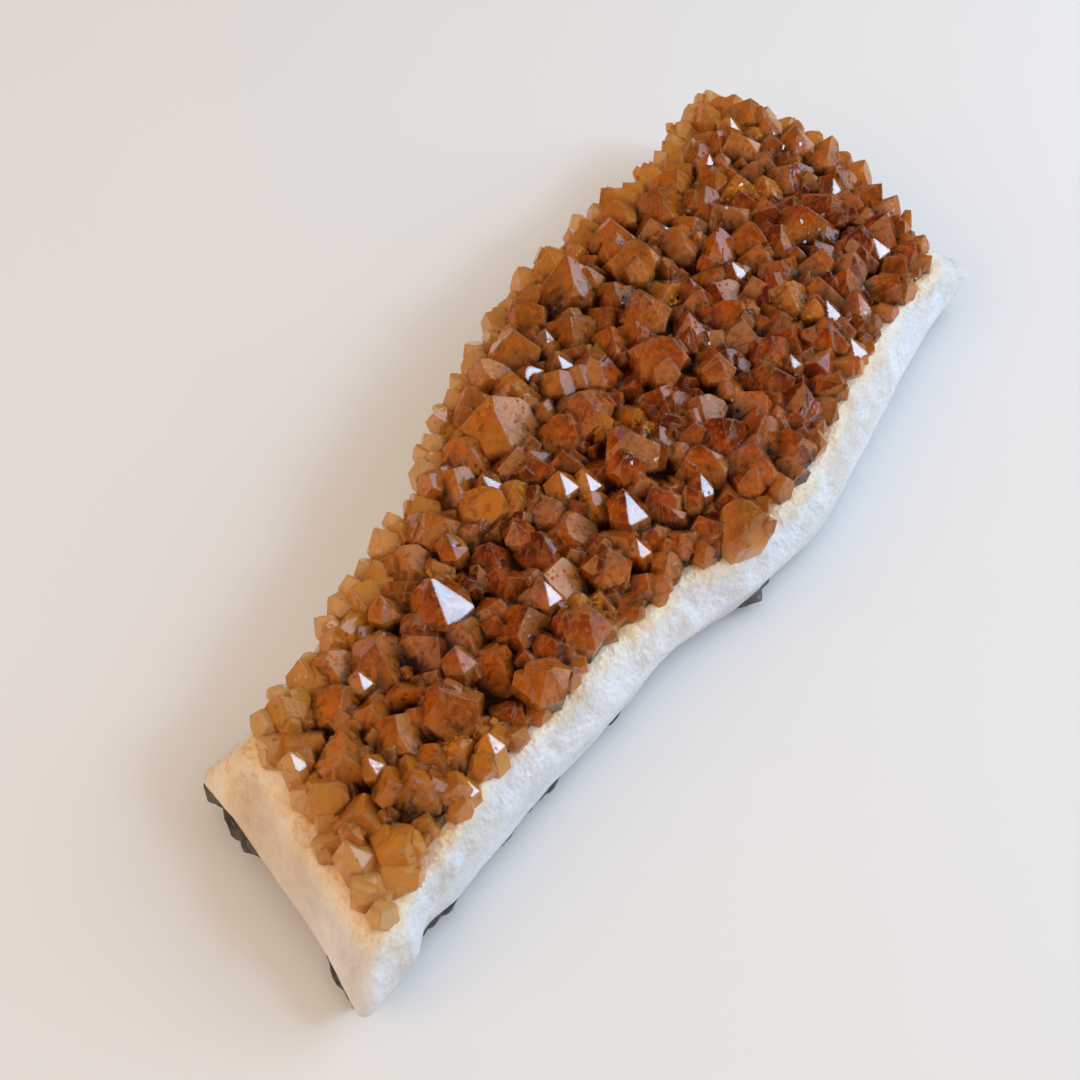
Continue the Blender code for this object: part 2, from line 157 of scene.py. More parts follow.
def inset(outline, amount):
    sides = {}
    inward = {"front": 1, "right": 1, "back": -1, "left": -1}
    for side, pts in outline.items():
        pts = np.array(pts, float)
        moved = []
        for i in range(len(pts)):
            t = pts[min(i + 1, len(pts) - 1)] - pts[max(i - 1, 0)]
            t /= np.linalg.norm(t)
            moved.append(pts[i] + np.array([-t[1], t[0]]) * inward[side] * amount[side])
        sides[side] = moved
    for (s1, i1), (s2, i2) in ((("front", 0), ("left", 0)), (("front", -1), ("right", 0)),
                               (("back", 0), ("left", -1)), (("back", -1), ("right", -1))):
        a, b = np.array(outline[s1][i1], float), np.array(outline[s2][i2], float)
        corner = a + (sides[s1][i1] - a) + (sides[s2][i2] - b)
        sides[s1][i1] = sides[s2][i2] = corner
    return sides


def even(value):
    return dict.fromkeys(("front", "right", "back", "left"), value)


def ring_of(outline, nu, nv):
    """Points round the outline, counter-clockwise seen from above, in rim() order."""
    f, b = along(outline["front"], nu), along(outline["back"], nu)
    l, r = along(outline["left"], nv), along(outline["right"], nv)
    return np.concatenate([f[:-1], r[:-1], b[:0:-1], l[:0:-1]])


def bed_z(x, y):
    swell = 0.7 * np.sin(x / 23.0 + 0.8) * np.cos(y / 17.0) + 0.4 * np.sin(y / 9.0 + x / 31.0)
    return MATRIX_TOP + swell - 0.9 * smooth_step((-52 - x) / 18.0)


def skin_z(x, y):
    thick = smooth_step((-42 - x) / 20.0) * smooth_step((y + 9) / 14.0)
    return RIND_TOP + (RIND_LEFT_TOP - RIND_TOP) * thick + 0.25 * np.sin(x / 8.0) * np.cos(y / 7.0)


def shoulder_z(x, y):
    left = smooth_step((-60 - x + 0.35 * (y + 12)) / 9.0)
    return SHOULDER_Z + (LEFT_LIP_Z - SHOULDER_Z) * left + 0.35 * np.sin(x / 6.5 + y / 5.0)


# ------------------------------------------------------------------ surface noise
def hashed(i, j, k, seed):
    h = np.sin(i * 127.1 + j * 311.7 + k * 74.7 + seed * 53.3) * 43758.5453
    return h - np.floor(h)


def value_noise(p, seed):
    c = np.floor(p)
    f = p - c
    f = f * f * (3 - 2 * f)
    total = np.zeros(len(p))
    for dx in (0, 1):
        for dy in (0, 1):
            for dz in (0, 1):
                w = ((f[:, 0] if dx else 1 - f[:, 0]) * (f[:, 1] if dy else 1 - f[:, 1])
                     * (f[:, 2] if dz else 1 - f[:, 2]))
                total += w * hashed(c[:, 0] + dx, c[:, 1] + dy, c[:, 2] + dz, seed)
    return total * 2 - 1


def fbm(p, size, octaves, seed):
    """Layered noise, -1 to 1, whose largest lumps are size mm across."""
    total, amp, norm = np.zeros(len(p)), 1.0, 0.0
    for o in range(octaves):
        total += amp * value_noise(p * (2.03 ** o / size), seed + 17.0 * o)
        norm += amp
        amp *= 0.5
    return total / norm


def grains(p, size, seed):
    """Relief of packed small quartz tips, 0 to about 1: each cell is one blunt pyramid."""
    q = p / size
    c = np.floor(q)
    best = np.full(len(p), -9.0)
    for dx in (-1, 0, 1):
        for dy in (-1, 0, 1):
            for dz in (-1, 0, 1):
                g = c + (dx, dy, dz)
                h = [hashed(g[:, 0], g[:, 1], g[:, 2], seed + s) for s in (1, 2, 3, 4, 5, 6)]
                d = q - g - np.stack(h[:3], axis=1)
                a, b = h[3] * 6.28, h[4] * 6.28
                r1 = np.stack([np.cos(a) * np.cos(b), np.sin(a) * np.cos(b), np.sin(b)], axis=1)
                r2 = np.stack([-np.sin(a), np.cos(a), 0 * a], axis=1)
                r3 = np.cross(r1, r2)
                far = np.abs((d * r1).sum(1)) + np.abs((d * r2).sum(1)) + np.abs((d * r3).sum(1))
                best = np.maximum(best, 0.35 * h[5] - 0.75 * far)
    return np.clip(best + 0.9, 0, 1.3)


# ------------------------------------------------------------------ slab and skin
def smooth_rows(rings, steps):
    """Rows of points on smooth curves through the rings, one curve for each column."""
    out, n = [], len(rings)
    for k in range(n - 1):
        p0, p1, p2, p3 = rings[max(k - 1, 0)], rings[k], rings[k + 1], rings[min(k + 2, n - 1)]
        for s in range(steps[k]):
            t = s / steps[k]
            out.append(0.5 * (2 * p1 + (p2 - p0) * t + (2 * p0 - 5 * p1 + 4 * p2 - p3) * t * t
                              + (3 * p1 - p0 - 3 * p2 + p3) * t ** 3))
    out.append(rings[-1])
    return np.array(out)


def row_normals(rows):
    du = np.roll(rows, -1, axis=1) - np.roll(rows, 1, axis=1)
    dv = np.gradient(rows, axis=0)
    n = np.cross(dv, du)
    return n / np.maximum(np.linalg.norm(n, axis=2, keepdims=True), 1e-9)


def closed_stone(name, rows, top, low, nu, nv, fine, zones=None):
    """One closed mesh: fine rows round the side, and a coarser cap grid at each end whose
    rim points are every fine-th point of the first and last row."""
    count, columns = rows.shape[:2]
    verts = [rows.reshape(-1, 3)]
    faces = []
    i = np.arange(columns)
    for r in range(count - 1):
        a, b = r * columns + i, r * columns + (i + 1) % columns
        faces += list(zip(a, a + columns, b + columns, b))
    base = count * columns
    loop = {key: k * fine for k, key in enumerate(rim(nu, nv))}
    for cap, first, flip in ((top, 0, False), (low, (count - 1) * columns, True)):
        inner = {}
        pts = []
        for a in range(1, nu):
            for b in range(1, nv):
                inner[(a, b)] = base + len(pts)
                pts.append(cap[a, b])
        base += len(pts)
        verts.append(np.array(pts))

        def corner(key):
            return inner[key] if key in inner else first + loop[key]

        for a in range(nu):
            for b in range(nv):
                cell = [(a, b), (a + 1, b), (a + 1, b + 1), (a, b + 1)]
                face = []
                for k in range(4):
                    p, q = cell[k], cell[(k + 1) % 4]
                    face.append(corner(p))
                    if p in loop and q in loop:
                        painted_valley_shade = (loop[q] - loop[p]) % columns
                        if painted_valley_shade == fine:
                            face += [first + (loop[p] + s) % columns for s in range(1, fine)]
                faces.append(face[::-1] if flip else face)
    verts = np.concatenate(verts)
    mesh = bpy.data.meshes.new(name)
    mesh.from_pydata((verts * MM).tolist(), [], [list(map(int, f)) for f in faces])
    bm = bmesh.new()
    bm.from_mesh(mesh)
    bmesh.ops.triangulate(bm, faces=[f for f in bm.faces if len(f.verts) > 4])
    bm.to_mesh(mesh)
    bm.free()
    if zones is not None:
        data = np.zeros((len(verts), 4), np.float32)
        data[:, 3] = 1
        data[:count * columns] = zones.reshape(-1, 4)
        data[count * columns:] = (1, 0, 0, 0.3)
        layer = mesh.color_attributes.new("zones", "FLOAT_COLOR", "POINT")
        layer.data.foreach_set("color", data.ravel())
    mesh.shade_smooth()
    obj = bpy.data.objects.new(name, mesh)
    bpy.context.scene.collection.objects.link(obj)
    print(name, "triangles", sum(len(p.vertices) - 2 for p in mesh.polygons))
    return obj


def ring3(outline, count, z_of):
    ring = ring_of(outline, *count)
    return np.column_stack([ring, z_of(ring[:, 0], ring[:, 1])])


def cap3(outline, nu, nv, z_of):
    plan = patch(outline, nu, nv)
    return np.dstack([plan, z_of(plan[..., 0], plan[..., 1])])


def bump_at(p, x, y, radius):
    return np.exp(-((p[:, 0] - x) ** 2 + (p[:, 1] - y) ** 2) / radius ** 2)


def build_slab():
    """The white quartz slab: a granular slope under the crystals' edge, a smoother steep
    wall below it, and a smooth sawn-looking slope at the left end."""
    nu, nv, fine = 120, 40, 3
    count = (nu * fine, nv * fine)
    under = inset(TOP, even(3.0))
    a, b, c = (ring3(o, count, z) for o, z in ((TOP, bed_z), (MID, shoulder_z), (LOW, skin_z)))
    tuck = ring3(inset(LOW, even(1.0)), count, skin_z)
    last = tuck.copy()
    rings = [ring3(under, count, bed_z) + (0, 0, 0.9), a + (0, 0, 0.75), 0.55 * a + 0.45 * b + (0, 0, 0.55),
             b + (0, 0, 0.0), 0.5 * b + 0.5 * c, c + (0, 0, 0.45), tuck + (0, 0, 0.0)]
    for k in (1, 2, 3, 4, 5, 6):
        # the corners of the slab are rounded
        wide = 5 if k < 6 else 3
        rings[k] = sum(np.roll(rings[k], s, axis=0) for s in range(-wide, wide + 1)) / (2 * wide + 1)
    rows = smooth_rows(rings, (5, 7, 8, 6, 6, 4))
    level = np.repeat(np.arange(6), (5, 7, 8, 6, 6, 4)).tolist() + [6]
    part = np.concatenate([np.arange(s) / s for s in (5, 7, 8, 6, 6, 4)] + [[0.0]])
    v = np.repeat((np.array(level) + part)[:, None], rows.shape[1], axis=1).ravel()
    normal = row_normals(rows).reshape(-1, 3)
    p = rows.reshape(-1, 3)
    x, y = p[:, 0], p[:, 1]
    # 1 on the columns of the left side, fading out past its two corners
    k = np.arange(rows.shape[1])
    start = 2 * count[0] + count[1]
    past = np.minimum((start - k) % len(k), (k - start - count[1]) % len(k))
    past = np.where((k >= start), 0, past)
    left = np.tile(smooth_step(1.0 - past / 18.0), rows.shape[0])
    lobe = bump_at(p, -72.0, -11.5, 5.0)
    upper = smooth_step((v - 0.3) / 0.7) * smooth_step((3.35 - v) / 0.8)
    rough = np.clip(upper * (1 - 0.75 * left) + 0.8 * lobe * upper, 0, 1)
    ends = smooth_step((6.0 - v) / 0.8) * smooth_step(v / 0.8)
    relief = rough * (0.50 * (grains(p, 2.4, 3.0) - 0.55) + 0.20 * (grains(p, 1.0, 11.0) - 0.55))
    relief += (1 - rough) * (0.22 * fbm(p, 5.0, 3, 5.0) + 0.05 * (grains(p, 0.9, 21.0) - 0.5))
    relief += 0.55 * fbm(p, 13.0, 2, 9.0) * (1 - 0.4 * left)
    # lumps and a notch where the left tip turns into the front wall
    relief += 0.9 * bump_at(p, -68.2, -13.0, 2.2) * upper - 0.8 * bump_at(p, -63.5, -13.5, 2.6)
    relief += 0.5 * bump_at(p, -8.0, -22.5, 5.0) * upper
    p = p + normal * (relief * ends)[:, None]
    rows = p.reshape(rows.shape)
    rows[-1] = last
    amber = np.maximum(smooth_step((2.4 - v) / 2.0), 0.7 * left * bump_at(p, -62.5, 17.0, 6.0) * smooth_step((4.2 - v) / 2.0))
    cream = np.clip(left * (0.2 + 0.8 * smooth_step((y + 9.0) / 16.0)), 0, 1)
    band = np.exp(-((v - 4.55 - 0.25 * np.sin(x / 7.0)) / 0.16) ** 2) + 0.7 * np.exp(-((v - 4.05) / 0.09) ** 2)
    right = smooth_step((x - 22) / 14.0) * smooth_step((8 - y) / 8.0)
    mauve = np.clip(band * (right + 0.35 * bump_at(p, -12.0, -22.0, 9.0)), 0, 1)
    zones = np.stack([amber, cream, mauve, rough], axis=1).astype(np.float32)
    cap = cap3(under, nu, nv, bed_z)
    flat = cap.reshape(-1, 3)
    edge = distance_to(flat[:, :2], ring_of(under, 80, 24))[0]
    lift = 0.9 + smooth_step(edge / 3.0) * (1.6 * np.clip(fbm(flat, 5.0, 3, 55.0) + 0.1, -0.3, 1) - 0.5)
    flat[:, 2] += lift
    obj = closed_stone("quartz_slab", rows, flat.reshape(cap.shape),
                       cap3(inset(LOW, even(1.0)), nu, nv, skin_z), nu, nv, fine, zones)
    return obj


def build_skin():
    """The dark skin of host rock: rough, set back under the slab but for a few remnants."""
    nu, nv, fine = 100, 34, 2
    count = (nu * fine, nv * fine)
    outer = inset(LOW, {"front": 0.9, "right": 1.2, "back": 1.0, "left": -0.6})
    foot = inset(outer, {"front": 1.4, "right": 2.2, "back": 2.2, "left": 2.0})
    core = inset(foot, even(2.5))
    under = inset(outer, even(2.5))
    mid = 0.5 * ring_of(outer, *count) + 0.5 * ring_of(foot, *count)
    face = ring3(outer, count, skin_z)
    middle = np.column_stack([mid * 0.4 + face[:, :2] * 0.6, 0.45 * face[:, 2]])
    rings = [ring3(under, count, lambda x, y: skin_z(x, y) + 0.12), face + (0, 0, 0.05), middle,
             ring3(foot, count, lambda x, y: 0 * x + 0.02), ring3(core, count, lambda x, y: 0 * x)]
    steps = (4, 6, 7, 3)
    rows = smooth_rows(rings, steps)
    level = np.repeat(np.arange(4), steps).tolist() + [4]
    part = np.concatenate([np.arange(s) / s for s in steps] + [[0.0]])
    v = np.repeat((np.array(level) + part)[:, None], rows.shape[1], axis=1).ravel()
    normal = row_normals(rows).reshape(-1, 3)
    p = rows.reshape(-1, 3)
    side = smooth_step((v - 0.3) / 0.5) * smooth_step((3.15 - v) / 0.5)
    stands = np.zeros(len(p))
    for x, y, r, out in ((-61.8, 18.6, 3.2, 1.8), (-65.0, 12.0, 4.4, 2.3), (-73.2, -6.5, 2.6, 1.2),
                         (-61.0, -12.2, 3.6, 0.8), (-49.0, -13.0, 5.0, 0.8), (-42.0, -14.0, 4.0, 0.8),
                         (-29.0, -15.5, 4.0, 0.6), (-5.5, -22.3, 3.0, 1.7), (30.0, -23.8, 3.0, 0.5),
                         (58.5, -18.0, 5.0, 0.6)):
        stands = np.maximum(stands, out * bump_at(p, x, y, r))
    flat = normal * (1, 1, 0.25)
    relief = side * (stands * (0.8 + 0.5 * fbm(p, 1.6, 3, 61.0)) + 0.55 * fbm(p, 2.6, 4, 31.0)
                     + 0.35 * (grains(p, 1.3, 41.0) - 0.5))
    p = p + flat * relief[:, None]
    p[:, 2] = np.maximum(p[:, 2], 0.0)
    rows = p.reshape(rows.shape)
    return closed_stone("host_rock_skin", rows, cap3(under, nu, nv, lambda x, y: skin_z(x, y) + 0.12),
                        cap3(core, nu, nv, lambda x, y: 0 * x), nu, nv, fine)


# ------------------------------------------------------------------ crystals
def slice_off(bm, point, normal):
    cut = bmesh.ops.bisect_plane(bm, geom=bm.verts[:] + bm.edges[:] + bm.faces[:], dist=1e-9,
                                 plane_co=point, plane_no=normal, clear_outer=True)
    edges = [e for e in cut["geom_cut"] if isinstance(e, bmesh.types.BMEdge)]
    if edges:
        bmesh.ops.edgeloop_fill(bm, edges=edges)


def quartz_point(foot, axis, width, height, spin, rng, base_z, bright=None):
    """A quartz crystal as the space inside its own planes: six prism sides, three broad
    and three narrow rhombohedral ends. Returns its mesh and the list of planes. With
    bright set, all six end faces reach the tip."""
    bm = bmesh.new()
    bmesh.ops.create_cube(bm, size=1.0)
    side = axis.orthogonal().normalized()
    other = axis.cross(side)
    reach = width * 1.3
    centre = foot + axis * (height * 0.5)
    for v in bm.verts:
        c = v.co.copy()
        v.co = centre + side * (c.x * 2 * reach) + other * (c.y * 2 * reach) \
            + axis * (c.z * (height + 3.0 * width))
    tip = foot + axis * height
    planes = []
    for k in range(6):
        a = spin + math.radians(60) * k
        out = side * math.cos(a) + other * math.sin(a)
        planes.append((foot + out * (0.5 * width * rng.uniform(0.84, 1.12)), out))
    for k in range(6):
        a = spin + math.radians(60) * k
        out = side * math.cos(a) + other * math.sin(a)
        slope = axis * math.cos(RHOMB) + out * math.sin(RHOMB)
        drop = rng.uniform(-0.06, 0.09) if k % 2 == 0 else rng.uniform(0.03, 0.22)
        if bright is not None:
            drop = 0.0 if k == 0 else rng.uniform(-0.05, 0.02) if k in (1, 5) else rng.uniform(-0.02, 0.10)
        elif rng.random() < 0.12:
            drop -= 0.10
        planes.append((tip + slope * (drop * width), slope))
    if bright is None and rng.random() < 0.22:
        # a chipped or flat tip
        tilt = (axis + side * rng.uniform(-0.5, 0.5) + other * rng.uniform(-0.5, 0.5)).normalized()
        planes.append((tip - axis * (rng.uniform(0.04, 0.16) * width), tilt))
    planes.append((Vector((foot.x, foot.y, base_z)), Vector((0, 0, -1))))
    for point, normal in planes:
        slice_off(bm, point, normal)
    bmesh.ops.recalc_face_normals(bm, faces=bm.faces[:])
    return bm, planes


def distance_to(points, polygon):
    """Distance of each point to the polygon's edge, the way out to it, and inside or not."""
    a, b = polygon, np.roll(polygon, -1, axis=0)
    ab = b - a
    t = np.clip(((points[:, None] - a) * ab).sum(-1) / np.maximum((ab ** 2).sum(-1), 1e-9), 0, 1)
    d = a + ab * t[..., None] - points[:, None]
    length = np.linalg.norm(d, axis=-1)
    k = length.argmin(1)
    rows = np.arange(len(points))
    x, y = points[:, :1], points[:, 1:]
    crosses = ((a[:, 1] > y) != (b[:, 1] > y)) & (
        x < (b[:, 0] - a[:, 0]) * (y - a[:, 1]) / np.where(b[:, 1] == a[:, 1], 1e-9, b[:, 1] - a[:, 1]) + a[:, 0])
    return length[rows, k], d[rows, k] / np.maximum(length[rows, k], 1e-6)[:, None], crosses.sum(1) % 2 == 1


REGION = inset(TOP, {"front": 0.9, "right": 0.6, "back": 0.2, "left": 1.4})
REGION_RING = ring_of(REGION, 80, 24)

# Where the camera and the window stand, in layout mm: a mirror-like end face between
# the two directions flashes.
EYE = np.array([-115.06, -56.19, 156.0])
WINDOW_WAY = (0.30, -1.0, 0.85)
WINDOW_FAR = 0.9

# Flashing end faces: x, y, height of the face's middle, crystal width, roughness, and
# degrees off the full flash
FLASHES = [
    (-34.8, 3.6, 18, 8.2, 0.02, 0), (-12.1, -7.9, 18, 5.8, 0.02, 1), (4, 10.6, 18.2, 4.8, 0.02, 0),
    (-27.4, -5.6, 17.2, 5.0, 0.03, 1), (-13.2, 0.7, 18.2, 4.4, 0.02, 1.5), (-10.9, -1.6, 17.6, 4.4, 0.02, 2),
    (-17.4, 8.8, 17.6, 3.4, 0.02, 1), (29.2, -19.6, 14.6, 4.6, 0.02, 0), (31.5, -14.6, 17.2, 4.2, 0.03, 1),
    (36, -17, 16.6, 4.8, 0.12, 4.8), (55, -4.8, 17.4, 3.8, 0.02, 0), (47.4, -14.8, 16.6, 3.4, 0.02, 1),
    (50.1, 3.5, 17.8, 5, 0.14, 6.4), (60.7, 14.4, 17.2, 3.4, 0.02, 0), (31.6, -0.5, 18, 2.8, 0.02, 0.5),
    (-46.7, -10.0, 15.0, 3.4, 0.08, 2.5), (-51.8, -10.0, 13.4, 3.0, 0.02, 0.5), (-59.5, 7.1, 15.6, 2.8, 0.03, 1),
    (-48, 6.1, 16.6, 2.8, 0.02, 1), (-27.7, 7.1, 17.8, 4.2, 0.2, 5.6), (-40.4, -2.1, 17.2, 4.8, 0.24, 7.2),
    (-64.6, -4.4, 14.6, 4.6, 0.13, 5.6), (62.1, 4, 17.4, 6, 0.26, 7.2), (41.5, -13.6, 16.6, 6.4, 0.3, 8.8),
    (18.7, -0.9, 18, 6.6, 0.3, 8.8), (-3.6, -13.4, 16.6, 3.4, 0.06, 2.5), (-16.3, -11.5, 16.8, 2.8, 0.03, 1.5),
    (-38.9, 9.2, 17, 4, 0.22, 6.4), (21.1, -14, 16.6, 2.6, 0.03, 1.5), (51.3, 13.5, 17.4, 2.8, 0.03, 2),
    (7.5, 15, 17.6, 3.4, 0.08, 3), (-22, 1.5, 17.8, 3.6, 0.16, 7.2), (12, -9, 17.4, 4.6, 0.26, 8),
    (64, 9.5, 17, 4.4, 0.22, 7.2), (-56, -1, 16.6, 3, 0.08, 3), (40, 8, 17.8, 3.6, 0.14, 6.4),
]
# Where gold glitter shows inside: x, y, reach
GLITTER = [(-26.0, -7.8, 3.4), (-12.4, -0.2, 2.6), (-17.0, 6.0, 3.0), (22.0, 22.0, 3.6), (-5.9, 14.3, 3.0),
           (50.0, 5.5, 3.4), (21.5, 7.0, 3.6), (62.0, 13.0, 3.0), (-46.0, -8.0, 3.0), (30.0, -10.0, 3.4),
           (-1.5, -1.0, 3.4), (-31.0, 7.0, 3.0), (38.0, 12.0, 3.0)]


def flash_normal(x, y, z):
    here = np.array([x, y, z])
    window = np.array(WINDOW_WAY) / np.linalg.norm(WINDOW_WAY) * WINDOW_FAR / MM - SHIFT
    a, b = EYE - here, window - here
    h = a / np.linalg.norm(a) + b / np.linalg.norm(b)
    return h / np.linalg.norm(h)


def flash_crystal(x, y, z, width, off, rng):
    """Foot, axis, height and spin of a crystal whose end face 0 is centred at x, y, z and
    looks half way between the camera and the window, or off degrees away from that."""
    n = flash_normal(x, y, z)
    up = np.array([0, 0, 1.0])
    tilt = np.cross(n, up)
    turn = rng.choice((-1.0, 1.0))
    n = n + math.tan(math.radians(off)) * (turn * tilt / np.linalg.norm(tilt) + 0.3 * up)
    n /= np.linalg.norm(n)
    t = up - (up @ n) * n
    t /= np.linalg.norm(t)
    s = np.cross(n, t)
    turn = math.radians(rng.uniform(-18, 18))
    t = t * math.cos(turn) + s * math.sin(turn)
    axis = n * math.cos(RHOMB) + t * math.sin(RHOMB)
    rise = axis - (axis @ n) * n
    rise /= np.linalg.norm(rise)
    tip = np.array([x, y, z]) + rise * 0.40 * width
    height = (tip[2] - float(bed_z(x, y))) / axis[2]
    foot = tip - axis * height
    a = Vector(axis)
    side = a.orthogonal().normalized()
    other = a.cross(side)
    out = (Vector(n) - a * math.cos(RHOMB)) / math.sin(RHOMB)
    return foot, a, height, math.atan2(out.dot(other), out.dot(side))


def calm_spin(foot, axis, rng):
    """A turn about the axis that keeps the end faces away from the flash direction."""
    n = Vector(flash_normal(foot.x, foot.y, 17.5))
    side = axis.orthogonal().normalized()
    other = axis.cross(side)
    best = (-1.0, 0.0)
    for _ in range(10):
        spin = rng.uniform(0, math.tau)
        off = 180.0
        for k in range(6):
            out = side * math.cos(spin + math.radians(60) * k) + other * math.sin(spin + math.radians(60) * k)
            face = axis * math.cos(RHOMB) + out * math.sin(RHOMB)
            off = min(off, math.degrees(face.angle(n)), math.degrees(out.angle(n)))
        if off > 17.0:
            return spin
        best = max(best, (off, spin))
    return best[1]


def plant(rng):
    """Feet of the crystals: the flashing ones, the large ones, then a fill of ever smaller
    ones. Each is x, y, width, height, lean x, lean y, distance to the edge, flash."""
    placed = []
    for f in FLASHES:
        f = (*f[:3], 0.88 * f[3] if f[3] > 4 else f[3], *f[4:])
        foot, axis, height, spin = flash_crystal(*f[:4], f[5], rng)
        mid = 0.5 * (foot + foot + np.array(axis[:]) * height)
        placed.append([mid[0], mid[1], f[3], height, 0.0, 0.0, 9.0, (foot, axis, spin, f[4])])
    for x, y, width, height, lean_x, lean_y in LARGE_POINTS:
        width, height = width * 0.86, height * 1.04
        if all(math.hypot(x - q[0], y - q[1]) > 0.40 * (width + q[2]) for q in placed):
            placed.append([x, y, width, height, lean_x, lean_y, 9.0, None])
    for p in placed:
        p[6] = float(distance_to(np.array([p[:2]], float), REGION_RING)[0][0])
    low, high = REGION_RING.min(0), REGION_RING.max(0)
    for width, pitch in ((6.6, .66), (6.0, .65), (5.4, .64), (4.8, .62), (4.2, .61),
                         (3.6, .60), (3.0, .59), (2.4, .58)):
        spots = np.array([[rng.uniform(low[0], high[0]), rng.uniform(low[1], high[1])]
                          for _ in range(3500)])
        edge, way, within = distance_to(spots, REGION_RING)
        for (x, y), e, w_out, ok in zip(spots, edge, way, within):
            if not ok:
                continue
            w = width * rng.uniform(0.93, 1.07)
            if w > 2.9 + 0.75 * e or e < 0.2 * w:
                continue
            if any(math.hypot(x - q[0], y - q[1]) < pitch * 0.5 * (w + q[2]) for q in placed):
                continue
            fan = float(smooth_step(1.0 - e / 9.0))
            lean = (25.0 + 8.0 * max(0.0, w_out[0]) + 6.0 * w_out[1]) * fan
            height = 0.50 * w + rng.uniform(3.3, 4.6) - 1.6 * fan
            placed.append([x, y, w, height, w_out[0] * lean + rng.gauss(0, 10),
                           w_out[1] * lean + rng.gauss(0, 10), e, None])
    return placed


def build_crystals():
    rng = random.Random(71)
    spots = plant(rng)
    workshop = bpy.data.collections.new("workshop")
    bpy.context.scene.collection.children.link(workshop)
    crystals = []
    grown = []
    for x, y, width, height, lean_x, lean_y, edge, flash in spots:
        tone, kind = rng.random(), rng.random()
        z = float(bed_z(x, y))
        if flash:
            foot, axis, spin, gloss = flash
            foot = Vector(foot)
        else:
            foot = Vector((x, y, z))
            axis = Vector((math.tan(math.radians(lean_x)), math.tan(math.radians(lean_y)), 1.0)).normalized()
            spin, gloss = calm_spin(foot, axis, rng), None
        grown.append((foot, axis, width, height, edge, spin, tone, kind, True, gloss, z + 0.4))
        # quartz often grows parallel neighbours: same directions, set off and lower
        if width > 3.9 and not flash:
            for _ in range(rng.choice((0, 1, 1, 2, 2, 3))):
                a = rng.uniform(0, math.tau)
                far = rng.uniform(0.20, 0.42) * width
                grown.append((foot + Vector((far * math.cos(a), far * math.sin(a), 0)), axis,
                              width * rng.uniform(0.38, 0.72), height - rng.uniform(0.05, 0.26) * width,
                              edge, spin + rng.gauss(0, 0.03), tone, kind, False, None, z + 0.4))
    for n, (foot, axis, width, height, edge, spin, tone, kind, main, gloss, base) in enumerate(grown):
        foot = foot * MM
        bm, planes = quartz_point(foot, axis, width * MM, height * MM, spin, rng, base * MM,
                                  None if gloss is None else True)
        mesh = bpy.data.meshes.new("pt")
        bm.to_mesh(mesh)
        bm.free()
        obj = bpy.data.objects.new("pt_%03d" % n, mesh)
        workshop.objects.link(obj)
        crystals.append(dict(planes=planes, tip=foot + axis * (height * MM), axis=axis,
                             foot=(foot.x / MM, foot.y / MM), main=main, width=width * MM, edge=edge,
                             tone=tone, kind=kind, gloss=gloss, height=height * MM))
    nu, nv = 48, 14
    top, low = patch(inset(REGION, even(0.7)), nu, nv), patch(REGION, nu, nv)
    bm = bmesh.new()
    grid_t = [[bm.verts.new((p[0] * MM, p[1] * MM, (float(bed_z(*p)) + 2.0) * MM)) for p in row] for row in top]
    grid_l = [[bm.verts.new((p[0] * MM, p[1] * MM, (float(bed_z(*p)) - 0.5) * MM)) for p in row] for row in low]
    for i in range(nu):
        for j in range(nv):
            bm.faces.new((grid_t[i][j], grid_t[i + 1][j], grid_t[i + 1][j + 1], grid_t[i][j + 1]))
            bm.faces.new((grid_l[i][j], grid_l[i][j + 1], grid_l[i + 1][j + 1], grid_l[i + 1][j]))
    loop = rim(nu, nv)
    for k in range(len(loop)):
        (i, j), (p, q) = loop[k], loop[(k + 1) % len(loop)]
        bm.faces.new((grid_t[p][q], grid_t[i][j], grid_l[i][j], grid_l[p][q]))
    bmesh.ops.recalc_face_normals(bm, faces=bm.faces[:])
    bmesh.ops.triangulate(bm, faces=bm.faces[:])
    mesh = bpy.data.meshes.new("crystals")
    bm.to_mesh(mesh)
    bm.free()
    druse = bpy.data.objects.new("druse_crystals", mesh)
    bpy.context.scene.collection.objects.link(druse)
    mod = druse.modifiers.new("grown", "BOOLEAN")
    mod.operation, mod.operand_type, mod.solver = "UNION", "COLLECTION", "MANIFOLD"
    mod.collection = workshop
    bpy.context.view_layer.update()
    joined = bpy.data.meshes.new_from_object(druse.evaluated_get(bpy.context.evaluated_depsgraph_get()))
    druse.modifiers.clear()
    druse.data = joined
    for o in list(workshop.objects):
        m = o.data
        bpy.data.objects.remove(o, do_unlink=True)
        bpy.data.meshes.remove(m)
    bpy.data.collections.remove(workshop)
    bm = bmesh.new()
    bm.from_mesh(joined)
    bmesh.ops.remove_doubles(bm, verts=bm.verts[:], dist=1e-5)
    bmesh.ops.dissolve_limit(bm, angle_limit=math.radians(0.3), verts=bm.verts[:], edges=bm.edges[:])
    # the union leaves a few sealed pockets between points; only the outer shell stays
    seen, shells = set(), []
    for start in bm.verts:
        if start in seen:
            continue
        seen.add(start)
        stack, shell = [start], []
        while stack:
            vert = stack.pop()
            shell.append(vert)
            for e in vert.link_edges:
                far = e.other_vert(vert)
                if far not in seen:
                    seen.add(far)
                    stack.append(far)
        shells.append(shell)
    shells.sort(key=len)
    bmesh.ops.delete(bm, geom=[vert for shell in shells[:-1] for vert in shell], context="VERTS")
    bmesh.ops.triangulate(bm, faces=bm.faces[:])
    bm.to_mesh(joined)
    bm.free()
    print("crystals", len(crystals), "triangles", len(joined.polygons))
    return druse, crystals


